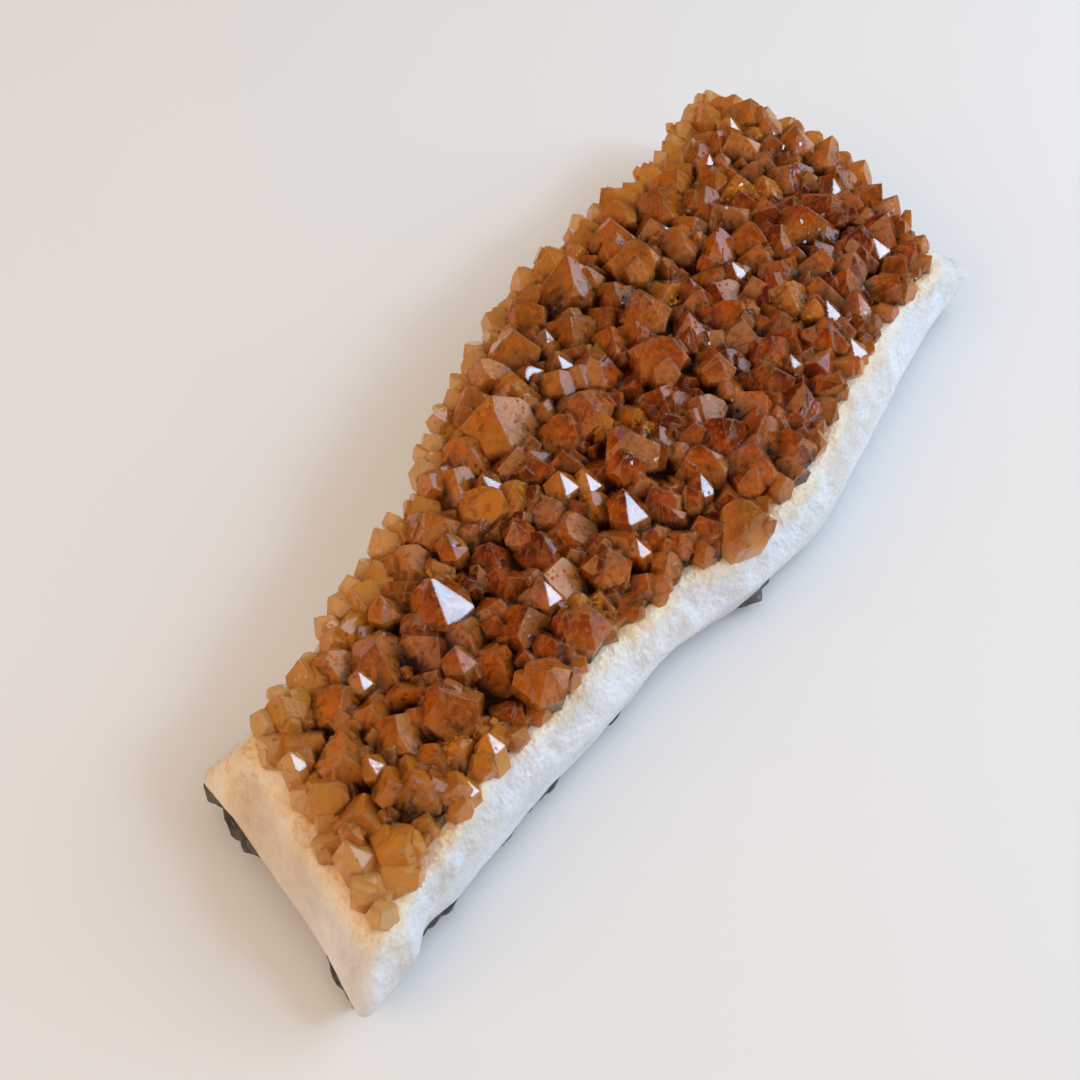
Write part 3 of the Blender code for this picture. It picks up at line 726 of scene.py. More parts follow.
def facet_data(druse, crystals):
    """Which crystal each facet belongs to, and from that its colour coordinates."""
    mesh = druse.data
    n = len(mesh.polygons)
    centre = np.zeros(n * 3)
    mesh.polygons.foreach_get("center", centre)
    centre = centre.reshape(-1, 3)
    best = np.full(n, 1e9)
    owner = np.zeros(n, int)
    facet = np.zeros(n, int)
    for c, crystal in enumerate(crystals):
        tip = np.array(crystal["tip"])
        near = np.where(((centre - tip) ** 2).sum(1) < (0.016) ** 2)[0]
        if not len(near):
            continue
        points = np.array([p[0][:] for p in crystal["planes"]])
        normals = np.array([p[1][:] for p in crystal["planes"]])
        dist = ((centre[near, None] - points) * normals).sum(-1)
        off = np.abs(dist.max(1))
        closer = off < best[near]
        idx = near[closer]
        best[idx] = off[closer]
        owner[idx] = c
        facet[idx] = dist[closer].argmax(1)
    tip = np.array([np.array(c["tip"]) for c in crystals])[owner]
    axis = np.array([np.array(c["axis"]) for c in crystals])[owner]
    tone = np.array([c["tone"] for c in crystals])[owner]
    kind = np.array([c["kind"] for c in crystals])[owner]
    edge = np.array([c["edge"] for c in crystals])[owner]
    co = np.zeros(len(mesh.vertices) * 3)
    mesh.vertices.foreach_get("co", co)
    co = co.reshape(-1, 3)
    corner = np.zeros(len(mesh.loops), np.int64)
    mesh.loops.foreach_get("vertex_index", corner)
    face_of = np.repeat(np.arange(n), 3)
    along_face = ((tip - centre) * axis).sum(1)
    along_axis = ((tip[face_of] - co[corner]) * axis[face_of]).sum(1)
    down = np.clip(along_axis / 0.0055, 0, 1)
    wild = np.modf(np.abs(np.sin(owner * 12.9898 + facet * 78.233)) * 43758.5453)[0]
    back = smooth_step((centre[:, 1] / MM - 4.0) / 7.0)
    left = smooth_step((-54.0 - centre[:, 0] / MM) / 9.0)
    pale = np.clip(1 - edge / (3.0 + 3.0 * back + 3.0 * left), 0, 1) * (0.3 + 0.7 * np.maximum(back, left))
    gloss = np.array([-1.0 if c["gloss"] is None else c["gloss"] for c in crystals])[owner]
    # most end faces are faintly etched, some are clear and some frosted
    satin = 0.10 + 0.22 * wild ** 1.5 + 0.10 * (kind > 0.8)
    clear = np.modf(wild * 7.31)[0] < 0.22
    satin = np.where(clear, 0.035, satin)
    satin = np.where((gloss >= 0) & (facet == 6), gloss, satin)
    golden = 0.5 * np.maximum.reduce([smooth_step((centre[:, 0] / MM - 52.0) / 14.0),
                                      smooth_step((-40.0 - centre[:, 0] / MM) / 16.0), 0.7 * back])
    for x, y, reach in GLITTER:
        close = np.hypot(tip[:, 0] / MM - x, tip[:, 1] / MM - y) < reach
        golden = np.where(close, 0.5 + 0.5 * np.clip(1.4 - along_face / 0.003, 0, 1), golden)
    # how deep each corner lies under the mean surface; the material paints shade from it in the valleys between
    # crystals
    sunk = valleys(crystals, co[corner])
    rooted = smooth_step((along_axis / 0.0055 - 0.35) / 0.45)
    near_rim = np.clip(1 - edge / (2.6 + 2.4 * left), 0, 1)[face_of]
    pale = np.maximum(pale[face_of], 0.85 * near_rim * rooted)
    # less painted shade on pale crystals and on those near the rim
    sunk = sunk * (1 - 0.6 * pale) * (1 - 0.8 * smooth_step(near_rim * 1.6))
    layer = mesh.color_attributes.new("quartz", "FLOAT_COLOR", "CORNER")
    rgba = np.stack([tone[face_of], down, pale, wild[face_of]], axis=1).astype(np.float32)
    layer.data.foreach_set("color", rgba.ravel())
    layer = mesh.color_attributes.new("habit", "FLOAT_COLOR", "CORNER")
    rgba = np.stack([kind[face_of], golden[face_of], satin[face_of], sunk], axis=1).astype(np.float32)
    layer.data.foreach_set("color", rgba.ravel())


def surface_z(points, crystals):
    """Height of the druse over plan points (metres), from the crystals' own planes."""
    best = np.full(len(points), -1.0)
    for c in crystals:
        foot = np.array(c["foot"]) * MM
        near = np.where(np.abs(points - foot).max(1) < 0.009)[0]
        if not len(near):
            continue
        low, high = np.full(len(near), -1.0), np.full(len(near), 1.0)
        for point, normal in c["planes"][:12]:
            d = normal.dot(point)
            rest = d - points[near, 0] * normal.x - points[near, 1] * normal.y
            if normal.z > 1e-4:
                high = np.minimum(high, rest / normal.z)
            elif normal.z < -1e-4:
                low = np.maximum(low, rest / normal.z)
            else:
                high = np.where(rest < 0, -1.0, high)
        z = np.where(high > low, high, -1.0)
        best[near] = np.maximum(best[near], z)
    return best


def valleys(crystals, points):
    """0 at the tips to 1 deep between them: how far points lie under the mean surface, which the material turns into
    painted shade.
    """
    step = 0.5
    gx, gy = np.arange(-80, 80, step), np.arange(-32, 32, step)
    grid = np.stack(np.meshgrid(gx, gy, indexing="ij"), axis=-1).reshape(-1, 2)
    z = surface_z(grid * MM, crystals).reshape(len(gx), len(gy))
    weight = (z > 0).astype(float)
    total, count = z * weight, weight.copy()
    for axis in (0, 1):
        for _ in range(2):
            total = sum(np.roll(total, k, axis) for k in range(-3, 4))
            count = sum(np.roll(count, k, axis) for k in range(-3, 4))
    mean = total / np.maximum(count, 1e-9)
    i = np.clip(((points[:, 0] / MM + 80) / step).round().astype(int), 0, len(gx) - 1)
    j = np.clip(((points[:, 1] / MM + 32) / step).round().astype(int), 0, len(gy) - 1)
    return np.clip((mean[i, j] - points[:, 2]) / 0.0026 + 0.1, 0, 1)


def build_seams(crystals, rng):
    """The seams where neighbouring crystals met while growing: thin upright sheets sealed in the druse, between the bed
    and a little under the surface. Their dark patches are partly painted shade for the gaps between the crystals."""
    main = [c for c in crystals if c["main"]]
    feet = np.array([c["foot"] for c in main])
    weight = np.array([c["width"] / MM for c in main]) ** 2 * 0.10
    segments = []
    for i, c in enumerate(main):
        r = 0.8 * c["width"] / MM
        poly = [(feet[i] + r * np.array(d), None) for d in ((-1, -1), (1, -1), (1, 1), (-1, 1))]
        order = np.argsort(((feet - feet[i]) ** 2).sum(1))[1:24]
        for j in order:
            d = feet[j] - feet[i]
            limit = (d @ (feet[j] + feet[i]) + weight[i] - weight[j]) / 2
            out = []
            for k in range(len(poly)):
                (a, tag), (b, _) = poly[k], poly[(k + 1) % len(poly)]
                sa, sb = a @ d - limit, b @ d - limit
                if sa <= 0:
                    out.append((a, tag))
                if (sa <= 0) != (sb <= 0):
                    cross = a + (b - a) * (sa / (sa - sb))
                    out.append((cross, j if sa <= 0 else tag))
            poly = out
            if len(poly) < 3:
                break
        for k in range(len(poly)):
            (a, tag), (b, _) = poly[k], poly[(k + 1) % len(poly)]
            if tag is not None and tag > i and np.linalg.norm(b - a) > 0.3:
                segments.append((a, b))
    a = np.array([s[0] for s in segments])
    b = np.array([s[1] for s in segments])
    # lowest surface close to five stations along every segment
    across = (b - a) / np.linalg.norm(b - a, axis=1)[:, None]
    sideways = np.stack([-across[:, 1], across[:, 0]], axis=1)
    stations, covers = [], []
    for s in np.linspace(0.06, 0.94, 5):
        p = a + (b - a) * s
        stations.append(p)
        covers.append(np.min([surface_z((p + across * u + sideways * v) * MM, crystals) / MM
                              for u, v in ((0, 0), (-0.3, 0), (0.3, 0), (0, -0.25), (0, 0.25))], axis=0))
    bm = bmesh.new()
    half = 0.03
    for k in range(len(segments)):
        if rng.random() < 0.12:
            continue
        side = sideways[k] * half
        depth = rng.uniform(0.35, 0.8)
        ground = [float(bed_z(*p[k])) for p in stations]
        if min(c[k] - g for c, g in zip(covers, ground)) < depth + 0.5:
            continue
        rows = []
        for p, c, g in zip(stations, covers, ground):
            z = min(c[k] - depth, g + 6.0)
            rows.append([bm.verts.new(((p[k][0] + s * side[0]) * MM, (p[k][1] + s * side[1]) * MM, h * MM))
                         for s, h in ((-1, g + 0.05), (1, g + 0.05), (1, z), (-1, z))])
        for r0, r1 in zip(rows, rows[1:]):
            for m in range(4):
                bm.faces.new((r0[m], r0[(m + 1) % 4], r1[(m + 1) % 4], r1[m]))
        bm.faces.new(rows[0][::-1])
        bm.faces.new(rows[-1])
    bmesh.ops.recalc_face_normals(bm, faces=bm.faces[:])
    bmesh.ops.triangulate(bm, faces=bm.faces[:])
    mesh = bpy.data.meshes.new("seam_sheets_and_gap_shade")
    bm.to_mesh(mesh)
    bm.free()
    obj = bpy.data.objects.new("seam_sheets_and_gap_shade", mesh)
    bpy.context.scene.collection.objects.link(obj)
    print("seams", len(segments))
    return obj


def deepest(points, planes):
    """Largest signed distance of each point to the crystal's planes: negative inside."""
    p = np.array([q[0][:] for q in planes])
    n = np.array([q[1][:] for q in planes])
    return ((points[:, None] - p) * n).sum(-1).max(1)


def plate(bm, centre, normal, radius, thick, rng, squeeze=1.0):
    """A thin closed plate with an irregular outline."""
    n = Vector(normal).normalized()
    a = n.orthogonal().normalized()
    b = n.cross(a)
    turn = rng.uniform(0, math.tau)
    sides = rng.choice((5, 6, 7))
    loops = [[], []]
    for k in range(sides):
        t = turn + math.tau * k / sides
        r = radius * rng.uniform(0.6, 1.15)
        at = centre + a * (r * math.cos(t)) + b * (r * squeeze * math.sin(t))
        for s in (0, 1):
            loops[s].append(bm.verts.new(at + n * (thick * (s - 0.5))))
    bm.faces.new(loops[1])
    bm.faces.new(loops[0][::-1])
    for k in range(sides):
        m = (k + 1) % sides
        bm.faces.new((loops[0][k], loops[0][m], loops[1][m], loops[1][k]))


def needle(bm, start, end, thick):
    d = (end - start).normalized()
    a = d.orthogonal().normalized() * thick
    b = d.cross(a)
    low = [bm.verts.new(start + a * x + b * y) for x, y in ((1, 0), (-0.5, 0.87), (-0.5, -0.87))]
    high = [bm.verts.new(end + (a * x + b * y) * 0.5) for x, y in ((1, 0), (-0.5, 0.87), (-0.5, -0.87))]
    bm.faces.new(low[::-1])
    bm.faces.new(high)
    for k in range(3):
        bm.faces.new((low[k], low[(k + 1) % 3], high[(k + 1) % 3], high[k]))


def sealed(bm, name):
    bmesh.ops.recalc_face_normals(bm, faces=bm.faces[:])
    bmesh.ops.triangulate(bm, faces=bm.faces[:])
    mesh = bpy.data.meshes.new(name)
    bm.to_mesh(mesh)
    bm.free()
    obj = bpy.data.objects.new(name, mesh)
    bpy.context.scene.collection.objects.link(obj)
    print(name, "triangles", len(mesh.polygons))
    return obj


def build_inclusions(crystals, rng):
    """What is sealed in the crystals: pale healed fractures, dark needles and gold flakes."""
    veils, needles, gold = bmesh.new(), bmesh.new(), bmesh.new()
    for c in crystals:
        if not c["main"]:
            continue
        axis, tip, w, h = c["axis"], c["tip"], c["width"], c["height"]
        side = axis.orthogonal().normalized()
        other = axis.cross(side)

        def spot(low, high, out):
            a, r = rng.uniform(0, math.tau), out * w * math.sqrt(rng.random())
            return tip - axis * (h * rng.uniform(low, high)) + (side * math.cos(a) + other * math.sin(a)) * r

        def fits(points):
            return deepest(np.array([p[:] for p in points]), c["planes"]).max() < -0.12 * MM

        for _ in range(rng.choice((3, 4, 5, 6))):
            at = spot(0.12, 0.85, 0.45)
            r = rng.uniform(0.05, 0.22) * w
            way = Vector((rng.gauss(0, 1), rng.gauss(0, 1), rng.gauss(0, 1))).normalized()
            a = way.orthogonal().normalized() * r * 1.15
            b = way.cross(a)
            if fits([at + a, at - a, at + b, at - b]):
                plate(veils, at, way, r, 0.03 * MM, rng, rng.uniform(0.3, 1.0))
        if c["kind"] < 0.45 or c["edge"] < 4.0:
            root = spot(0.6, 0.9, 0.3)
            for _ in range(rng.choice((3, 5, 7))):
                start = root + Vector((rng.gauss(0, 1), rng.gauss(0, 1), rng.gauss(0, 0.5))) * 0.10 * w
                way = (axis + Vector((rng.gauss(0, 0.30), rng.gauss(0, 0.30), rng.gauss(0, 0.2)))).normalized()
                end = start + way * rng.uniform(0.15, 0.40) * w
                if fits([start, end]):
                    needle(needles, start, end, rng.uniform(0.03, 0.06) * MM)
        for x, y, reach in GLITTER:
            if math.hypot(tip.x / MM - x, tip.y / MM - y) < reach + 0.3 * w / MM:
                for _ in range(16):
                    at = spot(0.12, 0.6, 0.35)
                    r = rng.uniform(0.08, 0.30) * MM
                    n = flash_normal(at.x / MM, at.y / MM, at.z / MM)
                    way = Vector(n) + Vector((rng.gauss(0, 0.3), rng.gauss(0, 0.3), rng.gauss(0, 0.3)))
                    if fits([at + side * r, at - side * r, at + other * r, at - other * r]):
                        plate(gold, at, way, r, 0.02 * MM, rng, rng.uniform(0.4, 1.0))
                break
    return sealed(veils, "healed_fractures"), sealed(needles, "needle_inclusions"), sealed(gold, "gold_flakes")


def to_row(obj):
    co = np.zeros(len(obj.data.vertices) * 3)
    obj.data.vertices.foreach_get("co", co)
    co = (co.reshape(-1, 3) + SHIFT * MM).ravel()
    obj.data.vertices.foreach_set("co", co)
    obj.data.update()


# ------------------------------------------------------------------ materials
class Nodes:
    def __init__(self, name):
        self.mat = bpy.data.materials.new(name)
        self.mat.use_nodes = True
        self.tree = self.mat.node_tree
        self.bsdf = self.tree.nodes["Principled BSDF"]
        self.out = self.tree.nodes["Material Output"]

    def add(self, kind, **values):
        node = self.tree.nodes.new(kind)
        for k, v in values.items():
            setattr(node, k, v)
        return node

    def link(self, a, b):
        self.tree.links.new(a, b)

    def value(self, socket, x):
        if hasattr(x, "node"):
            self.link(x, socket)
        else:
            socket.default_value = x

    def math(self, op, a, b=0.0, clamp=False):
        node = self.add("ShaderNodeMath", operation=op, use_clamp=clamp)
        self.value(node.inputs[0], a)
        self.value(node.inputs[1], b)
        return node.outputs[0]

    def mix(self, f, a, b):
        node = self.add("ShaderNodeMix", data_type="RGBA")
        self.value(node.inputs[0], f)
        for s, x in ((node.inputs[6], a), (node.inputs[7], b)):
            if hasattr(x, "node"):
                self.link(x, s)
            else:
                s.default_value = (*x, 1.0)
        return node.outputs[2]

    def noise(self, scale, detail=3.0, rough=0.5, distortion=0.0, vector=None):
        node = self.add("ShaderNodeTexNoise")
        node.inputs["Scale"].default_value = scale
        node.inputs["Detail"].default_value = detail
        node.inputs["Roughness"].default_value = rough
        node.inputs["Distortion"].default_value = distortion
        if vector is not None:
            self.link(vector, node.inputs["Vector"])
        return node.outputs["Fac"]

    def ramp(self, x, stops):
        node = self.add("ShaderNodeValToRGB")
        self.link(x, node.inputs[0])
        ramp = node.color_ramp
        while len(ramp.elements) < len(stops):
            ramp.elements.new(0.5)
        for e, (p, c) in zip(ramp.elements, stops):
            e.position = p
            e.color = (*c, 1.0) if len(c) == 3 else c
        return node.outputs["Color"]

    def remap(self, x, a, b, c=0.0, d=1.0):
        node = self.add("ShaderNodeMapRange")
        self.link(x, node.inputs["Value"])
        for k, v in zip(("From Min", "From Max", "To Min", "To Max"), (a, b, c, d)):
            node.inputs[k].default_value = v
        return node.outputs["Result"]

    def coords(self):
        return self.add("ShaderNodeTexCoord").outputs["Object"]


def citrine_material():
    n = Nodes("citrine")
    col = n.add("ShaderNodeVertexColor", layer_name="quartz")
    sep = n.add("ShaderNodeSeparateColor")
    n.link(col.outputs["Color"], sep.inputs[0])
    tone, down, pale, wild = sep.outputs[0], sep.outputs[1], sep.outputs[2], col.outputs["Alpha"]
    habit = n.add("ShaderNodeVertexColor", layer_name="habit")
    other = n.add("ShaderNodeSeparateColor")
    n.link(habit.outputs["Color"], other.inputs[0])
    kind, golden, satin, sunk = other.outputs[0], other.outputs[1], other.outputs[2], habit.outputs["Alpha"]
    where = n.coords()
    drawn = n.add("ShaderNodeMapping")
    drawn.inputs["Scale"].default_value = (1.0, 1.0, 0.25)
    n.link(where, drawn.inputs["Vector"])
    cloud = n.noise(400.0, 2.0, 0.62, 0.0, where)
    smoke = n.noise(120.0, 1.0, 0.5, 0.0, where)
    mottle = n.noise(1500.0, 1.0, 0.65, 0.0, where)
    fibre = n.noise(1200.0, 1.0, 0.6, 0.0, drawn.outputs[0])
    # facet edges, from how far a rounded normal turns away from the flat one
    worn = n.add("ShaderNodeBevel")
    worn.samples = 2
    worn.inputs["Radius"].default_value = 0.00032
    turn = n.add("ShaderNodeVectorMath", operation="DOT_PRODUCT")
    n.link(worn.outputs[0], turn.inputs[0])
    n.link(n.add("ShaderNodeNewGeometry").outputs["True Normal"], turn.inputs[1])
    rim = n.remap(turn.outputs["Value"], 0.99, 0.91, 0.0, 1.0)
    # colour by distance under the tip: the dark reddish tips are the crystals' own colour zoning; the lighter, brighter
    # orange lower down is partly a painted glow, where light gathers in the thinner glass
    depth = n.math("ADD", n.math("MULTIPLY", down, 1.15), n.math("MULTIPLY", n.math("SUBTRACT", cloud, 0.5), 0.42))
    depth = n.math("ADD", depth, n.math("MULTIPLY", n.math("SUBTRACT", tone, 0.5), 0.48))
    depth = n.math("ADD", depth, n.math("MULTIPLY", n.math("SUBTRACT", smoke, 0.5), 0.45))
    body = n.ramp(depth, [(0.02, (0.15, 0.014, 0.003)), (0.12, (0.34, 0.038, 0.005)),
                          (0.25, (0.61, 0.082, 0.006)), (0.42, (0.83, 0.165, 0.011)), (0.80, (1.0, 0.38, 0.070))])
    habit_tint = n.ramp(kind, [(0.30, (0.94, 0.255, 0.020)), (0.40, (0.77, 0.142, 0.009)), (0.66, (0.74, 0.126, 0.008)),
                               (0.78, (0.46, 0.070, 0.006))])
    body = n.mix(n.math("MULTIPLY", down, 0.55, clamp=True), body, habit_tint)
    # some faces are etched to a peach frost, some stay clear and dark
    body = n.mix(n.remap(wild, 0.58, 0.86, 0.0, 0.62), body, (1.0, 0.42, 0.13))
    body = n.mix(n.remap(wild, 0.30, 0.12, 0.0, 0.40), body, (0.27, 0.038, 0.006))
    # golden patches, peach and brown mottling
    body = n.mix(n.remap(smoke, 0.53, 0.64, 0.0, 0.60), body, (0.85, 0.190, 0.009))
    dark = n.math("MULTIPLY", n.remap(mottle, 0.48, 0.34, 0.0, 0.32), n.remap(golden, 0.0, 0.5, 1.0, 0.4))
    body = n.mix(dark, body, (0.30, 0.040, 0.006))
    body = n.mix(n.remap(mottle, 0.52, 0.68, 0.0, 0.40), body, (0.98, 0.34, 0.05))
    body = n.mix(n.remap(golden, 0.0, 0.5, 0.0, 0.5), body, (1.0, 0.36, 0.045))
    glitter = n.remap(golden, 0.5, 1.0)
    body = n.mix(n.math("MULTIPLY", glitter, 0.5), body, (1.0, 0.30, 0.02))
    # light worn edges and dark drawn-out fibres near the roots
    body = n.mix(n.math("MULTIPLY", rim, n.remap(sunk, 0.15, 0.6, 0.72, 0.0)), body, (1.0, 0.58, 0.24))
    lines = n.math("MULTIPLY", n.remap(fibre, 0.45, 0.37), n.remap(sunk, 0.0, 0.5, 0.25, 1.0))
    body = n.mix(n.math("MULTIPLY", lines, 0.85), body, (0.10, 0.020, 0.005))
    # painted shade: the deep valleys between the crystals go near-black, by valley depth, broken up by noise and
    # crystal tone
    painted_valley_shade = n.math("ADD", n.math("MULTIPLY", sunk, 1.9), n.math("MULTIPLY", n.math("SUBTRACT", cloud, 0.5), 1.3))
    painted_valley_shade = n.math("ADD", painted_valley_shade, n.math("MULTIPLY", n.math("SUBTRACT", tone, 0.8), 0.45), clamp=True)
    body = n.mix(n.math("MULTIPLY", painted_valley_shade, 0.96), body, (0.025, 0.006, 0.003))
    honey = n.mix(n.math("MULTIPLY", n.remap(pale, 0.0, 0.55), 0.80), body, (1.0, 0.44, 0.065))
    honey = n.mix(n.remap(pale, 0.5, 1.0, 0.0, 0.72), honey, (1.0, 0.69, 0.33))
    # small broken facets that tilt the normal; where gold glitter shows, some chip cells get a painted gold sparkle:
    # bright gold base colour standing in for light caught by fractures inside
    chips = n.add("ShaderNodeTexVoronoi")
    n.link(where, chips.inputs["Vector"])
    chips.inputs["Scale"].default_value = 2300.0
    pick = n.add("ShaderNodeSeparateColor")
    n.link(chips.outputs["Color"], pick.inputs[0])
    chip = n.math("GREATER_THAN", pick.outputs[0], 0.88)
    frosted = n.remap(satin, 0.03, 0.09)
    painted_gold_sparkle = n.math("MULTIPLY", n.math("GREATER_THAN", pick.outputs[1], 0.72), n.math("MULTIPLY", glitter, frosted))
    honey = n.mix(painted_gold_sparkle, honey, (1.0, 0.42, 0.04))
    n.link(honey, n.bsdf.inputs["Base Color"])
    n.bsdf.inputs["IOR"].default_value = 1.544
    n.bsdf.inputs["Transmission Weight"].default_value = 0.52
    # growth hillocks, steps across the faces, and small broken facets that sparkle
    height = n.math("ADD", n.math("MULTIPLY", cloud, 1.6), n.math("MULTIPLY", mottle, 0.5))
    bump = n.add("ShaderNodeBump")
    n.link(n.remap(satin, 0.02, 0.12, 0.10, 0.34), bump.inputs["Strength"])
    bump.inputs["Distance"].default_value = 0.00016
    n.link(worn.outputs[0], bump.inputs["Normal"])
    n.link(height, bump.inputs["Height"])
    tilt = n.add("ShaderNodeVectorMath", operation="SUBTRACT")
    n.link(chips.outputs["Color"], tilt.inputs[0])
    tilt.inputs[1].default_value = (0.8, 0.5, 0.5)
    push = n.add("ShaderNodeVectorMath", operation="SCALE")
    n.link(tilt.outputs[0], push.inputs[0])
    n.link(n.math("MULTIPLY", chip, frosted), push.inputs["Scale"])
    total = n.add("ShaderNodeVectorMath", operation="ADD")
    n.link(bump.outputs[0], total.inputs[0])
    n.link(push.outputs[0], total.inputs[1])
    unit = n.add("ShaderNodeVectorMath", operation="NORMALIZE")
    n.link(total.outputs[0], unit.inputs[0])
    n.link(unit.outputs[0], n.bsdf.inputs["Normal"])
    rough = n.math("MULTIPLY", satin, n.remap(cloud, 0.3, 0.7, 0.7, 1.3))
    rough = n.math("MULTIPLY", rough, n.math("SUBTRACT", 1.0, n.math("MULTIPLY", chip, 0.7)))
    n.link(rough, n.bsdf.inputs["Roughness"])
    absorb = n.add("ShaderNodeVolumeAbsorption")
    absorb.inputs["Color"].default_value = (0.96, 0.60, 0.05, 1.0)
    absorb.inputs["Density"].default_value = 95.0
    n.link(absorb.outputs[0], n.out.inputs["Volume"])
    n.mat.diffuse_color = (0.6, 0.25, 0.06, 1)
    return n.mat


def seam_and_gap_shade_material():
    n = Nodes("seam_and_gap_shade")
    patchy = n.noise(260.0, 3.0, 0.6, 0.2, n.coords())
    # patchy from dark brown to cream; the dark brown is partly painted shade that darkens the gaps between the crystals
    n.link(n.ramp(patchy, [(0.36, (0.20, 0.07, 0.02)), (0.44, (0.78, 0.44, 0.17)), (0.56, (0.98, 0.78, 0.48))]),
           n.bsdf.inputs["Base Color"])
    n.bsdf.inputs["Roughness"].default_value = 0.55
    return n.mat


def veil_material():
    n = Nodes("healed_fracture")
    patchy = n.noise(900.0, 3.0, 0.6, 0.2, n.coords())
    n.link(n.ramp(patchy, [(0.35, (0.92, 0.60, 0.30)), (0.65, (1.0, 0.88, 0.66))]), n.bsdf.inputs["Base Color"])
    n.bsdf.inputs["Roughness"].default_value = 0.4
    return n.mat


def gold_material():
    n = Nodes("gold_flake")
    patchy = n.noise(1500.0, 2.0, 0.5, 0.0, n.coords())
    n.link(n.ramp(patchy, [(0.3, (1.0, 0.40, 0.05)), (0.7, (1.0, 0.60, 0.16))]), n.bsdf.inputs["Base Color"])
    n.bsdf.inputs["Metallic"].default_value = 1.0
    n.bsdf.inputs["Roughness"].default_value = 0.22
    return n.mat


def plain(name, colour, rough):
    n = Nodes(name)
    n.bsdf.inputs["Base Color"].default_value = (*colour, 1)
    n.bsdf.inputs["Roughness"].default_value = rough
    return n.mat


def milky_quartz_material():
    n = Nodes("milky_quartz")
    zones = n.add("ShaderNodeVertexColor", layer_name="zones")
    sep = n.add("ShaderNodeSeparateColor")
    n.link(zones.outputs["Color"], sep.inputs[0])
    amber, cream, mauve, grain = sep.outputs[0], sep.outputs[1], sep.outputs[2], zones.outputs["Alpha"]
    where = n.coords()
    cloud = n.noise(160.0, 4.0, 0.6, 0.4, where)
    fine = n.noise(1400.0, 3.0, 0.6, 0.0, where)
    veins = n.noise(90.0, 5.0, 0.62, 1.6, where)
    white = n.ramp(cloud, [(0.3, (0.60, 0.615, 0.65)), (0.55, (0.71, 0.725, 0.76)), (0.75, (0.80, 0.81, 0.83))])
    white = n.mix(n.math("MULTIPLY", grain, n.remap(veins, 0.46, 0.60, 0.0, 0.6)), white, (0.58, 0.51, 0.42))
    warm = n.ramp(cloud, [(0.3, (0.52, 0.41, 0.31)), (0.55, (0.63, 0.52, 0.41)), (0.8, (0.72, 0.64, 0.54))])
    stone = n.mix(cream, white, warm)
    honey = n.ramp(n.math("ADD", cloud, n.math("MULTIPLY", n.math("SUBTRACT", fine, 0.5), 0.8)),
                   [(0.25, (0.66, 0.33, 0.09)), (0.5, (0.90, 0.64, 0.33)), (0.75, (0.93, 0.83, 0.66))])
    stain = n.math("MULTIPLY", amber, n.remap(veins, 0.3, 0.6, 0.55, 1.0), clamp=True)
    stone = n.mix(stain, stone, honey)
    stone = n.mix(n.math("MULTIPLY", mauve, n.remap(veins, 0.35, 0.6, 0.25, 1.0), clamp=True), stone, (0.50, 0.26, 0.27))
    n.link(stone, n.bsdf.inputs["Base Color"])
    n.link(n.remap(fine, 0.3, 0.7, 0.22, 0.48), n.bsdf.inputs["Roughness"])
    n.bsdf.inputs["IOR"].default_value = 1.544
    cell = n.add("ShaderNodeTexVoronoi")
    n.link(where, cell.inputs["Vector"])
    cell.inputs["Scale"].default_value = 1500.0
    height = n.math("ADD", n.math("MULTIPLY", cell.outputs["Distance"], n.math("ADD", n.math("MULTIPLY", grain, 1.0), 0.25)),
                    n.math("MULTIPLY", fine, n.remap(grain, 0.0, 1.0, 0.25, 0.6)))
    bump = n.add("ShaderNodeBump")
    bump.inputs["Strength"].default_value = 0.6
    bump.inputs["Distance"].default_value = 0.00022
    n.link(height, bump.inputs["Height"])
    n.link(bump.outputs[0], n.bsdf.inputs["Normal"])
    n.mat.diffuse_color = (0.85, 0.83, 0.8, 1)
    return n.mat


def host_rock_material():
    n = Nodes("host_rock")
    where = n.coords()
    cloud = n.noise(260.0, 5.0, 0.65, 0.3, where)
    spots = n.noise(1700.0, 3.0, 0.6, 0.0, where)
    rock = n.ramp(cloud, [(0.32, (0.03, 0.026, 0.024)), (0.5, (0.085, 0.068, 0.06)), (0.68, (0.22, 0.18, 0.165))])
    rock = n.mix(n.remap(spots, 0.58, 0.72, 0.0, 0.7), rock, (0.30, 0.24, 0.20))
    n.link(rock, n.bsdf.inputs["Base Color"])
    n.link(n.remap(cloud, 0.3, 0.7, 0.9, 0.65), n.bsdf.inputs["Roughness"])
    bump = n.add("ShaderNodeBump")
    bump.inputs["Strength"].default_value = 0.8
    bump.inputs["Distance"].default_value = 0.0003
    n.link(n.math("ADD", cloud, n.math("MULTIPLY", spots, 0.5)), bump.inputs["Height"])
    n.link(bump.outputs[0], n.bsdf.inputs["Normal"])
    n.mat.diffuse_color = (0.1, 0.09, 0.08, 1)
    return n.mat


# ------------------------------------------------------------------ build
druse, crystals = build_crystals()
facet_data(druse, crystals)
to_row(druse)
druse.data.materials.clear()
druse.data.materials.append(citrine_material())
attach(druse, "root")
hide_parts("citrine_druse")

seams = build_seams(crystals, random.Random(5))
veils, needles, gold = build_inclusions(crystals, random.Random(9))
for piece, finish in ((seams, seam_and_gap_shade_material()), (veils, veil_material()),
                      (needles, plain("dark_needle", (0.06, 0.022, 0.008), 0.6)), (gold, gold_material())):
    to_row(piece)
    piece.data.materials.append(finish)
    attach(piece, "root")

white = milky_quartz_material()
slab = build_slab()
to_row(slab)
slab.data.materials.append(white)
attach(slab, "root")
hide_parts("quartz_matrix")

skin = build_skin()
to_row(skin)
skin.data.materials.append(host_rock_material())
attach(skin, "root")
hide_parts("basalt_rind")

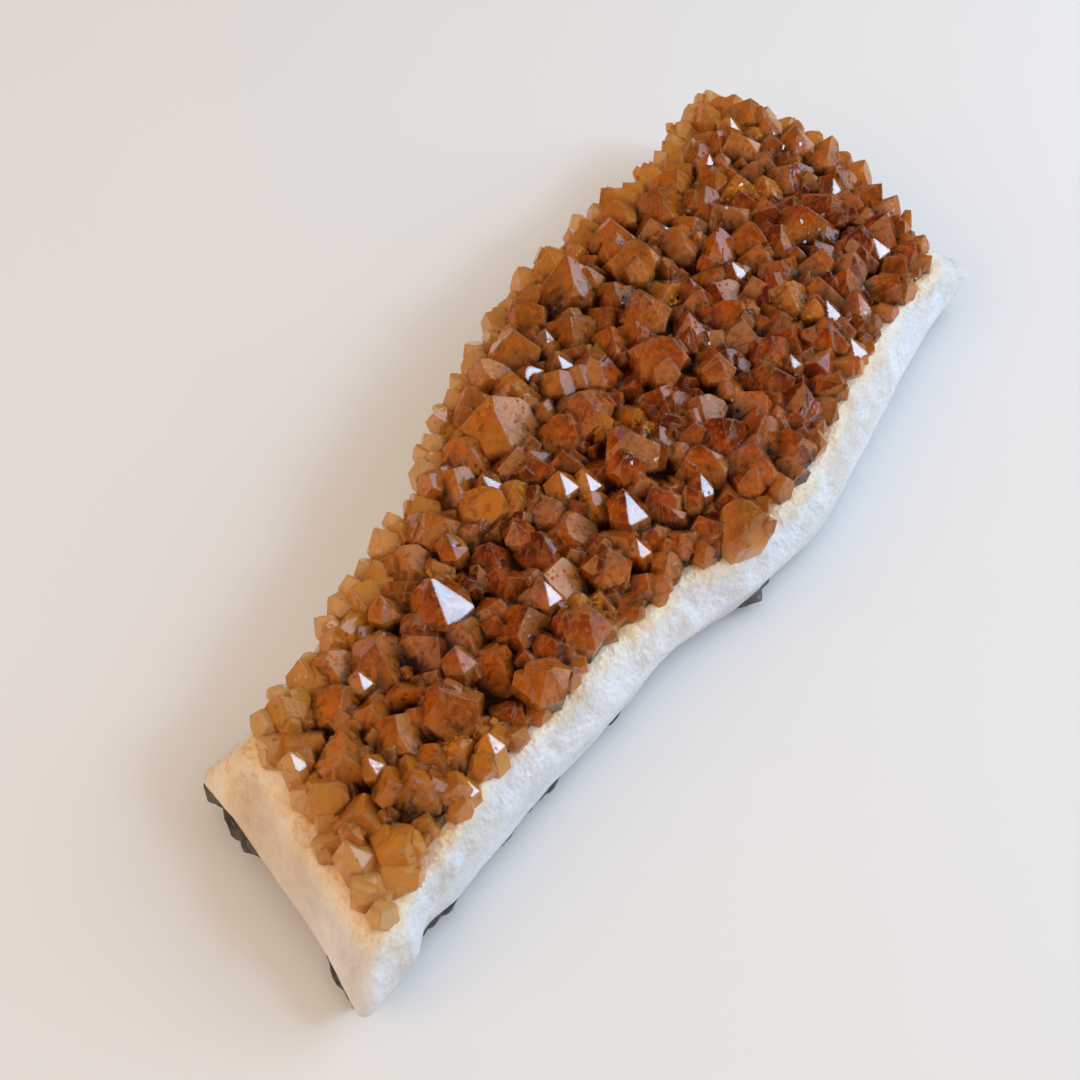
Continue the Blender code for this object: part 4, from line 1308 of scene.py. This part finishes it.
# ------------------------------------------------------------------ floor, light, camera
bpy.ops.mesh.primitive_plane_add(size=4.0, location=(0, 0, 0))
floor = bpy.context.active_object
floor.name = "floor"
floor.data.materials.append(plain("floor", (0.80, 0.80, 0.80), 0.7))

scene = bpy.context.scene
world = bpy.data.worlds.new("room")
scene.world = world
world.use_nodes = True
tree = world.node_tree
room = tree.nodes["Background"]
room.inputs["Color"].default_value = (1.0, 0.90, 0.79, 1)
# the room looks darker in reflections than it lights, as a room with one bright window does
rays = tree.nodes.new("ShaderNodeLightPath")
level = tree.nodes.new("ShaderNodeMapRange")
level.inputs["To Min"].default_value, level.inputs["To Max"].default_value = 0.58, 0.07
tree.links.new(rays.outputs["Is Glossy Ray"], level.inputs["Value"])
tree.links.new(level.outputs["Result"], room.inputs["Strength"])


def area(name, toward, distance, size, colour, watts, mirrored=False, aim=(0, 0, 0.01)):
    lamp = bpy.data.lights.new(name, "AREA")
    lamp.shape, lamp.size, lamp.size_y = "RECTANGLE", size[0], size[1]
    lamp.color, lamp.energy = colour, watts
    obj = bpy.data.objects.new(name, lamp)
    obj.location = Vector(aim) + Vector(toward).normalized() * distance
    obj.rotation_euler = (Vector(aim) - obj.location).to_track_quat("-Z", "Y").to_euler()
    scene.collection.objects.link(obj)
    obj.visible_glossy = mirrored
    return obj


area("window", WINDOW_WAY, WINDOW_FAR, (0.20, 0.16), (0.50, 0.76, 1.0), 1.6, mirrored=True)
area("window_side", (1.0, -1.0, 0.8), 0.5, (0.44, 0.36), (0.56, 0.76, 1.0), 1.7, mirrored=True)
area("warm_fill", (-0.9, 0.5, 0.8), 0.8, (0.8, 0.6), (1.0, 0.63, 0.37), 2.7)

cam = bpy.data.cameras.new("camera")
cam.lens, cam.sensor_width, cam.sensor_height, cam.sensor_fit = 50.0, 36.0, 36.0, "HORIZONTAL"
cam.clip_start = 0.005
eye = bpy.data.objects.new("camera", cam)
scene.collection.objects.link(eye)
A, E = math.radians(59.3586), math.radians(52.0)
# the view's right, up and back directions in the row frame
right = Vector((math.cos(A), -math.sin(A), 0))
ahead = Vector((math.cos(E) * math.sin(A), math.cos(E) * math.cos(A), -math.sin(E)))
up = right.cross(ahead)
eye.matrix_world = Matrix((
    (right.x, up.x, -ahead.x, -0.11506 + SHIFT[0] * MM),
    (right.y, up.y, -ahead.y, -0.05619 + SHIFT[1] * MM),
    (right.z, up.z, -ahead.z, 0.156),
    (0, 0, 0, 1)))
scene.camera = eye
scene.view_settings.view_transform = "Standard"
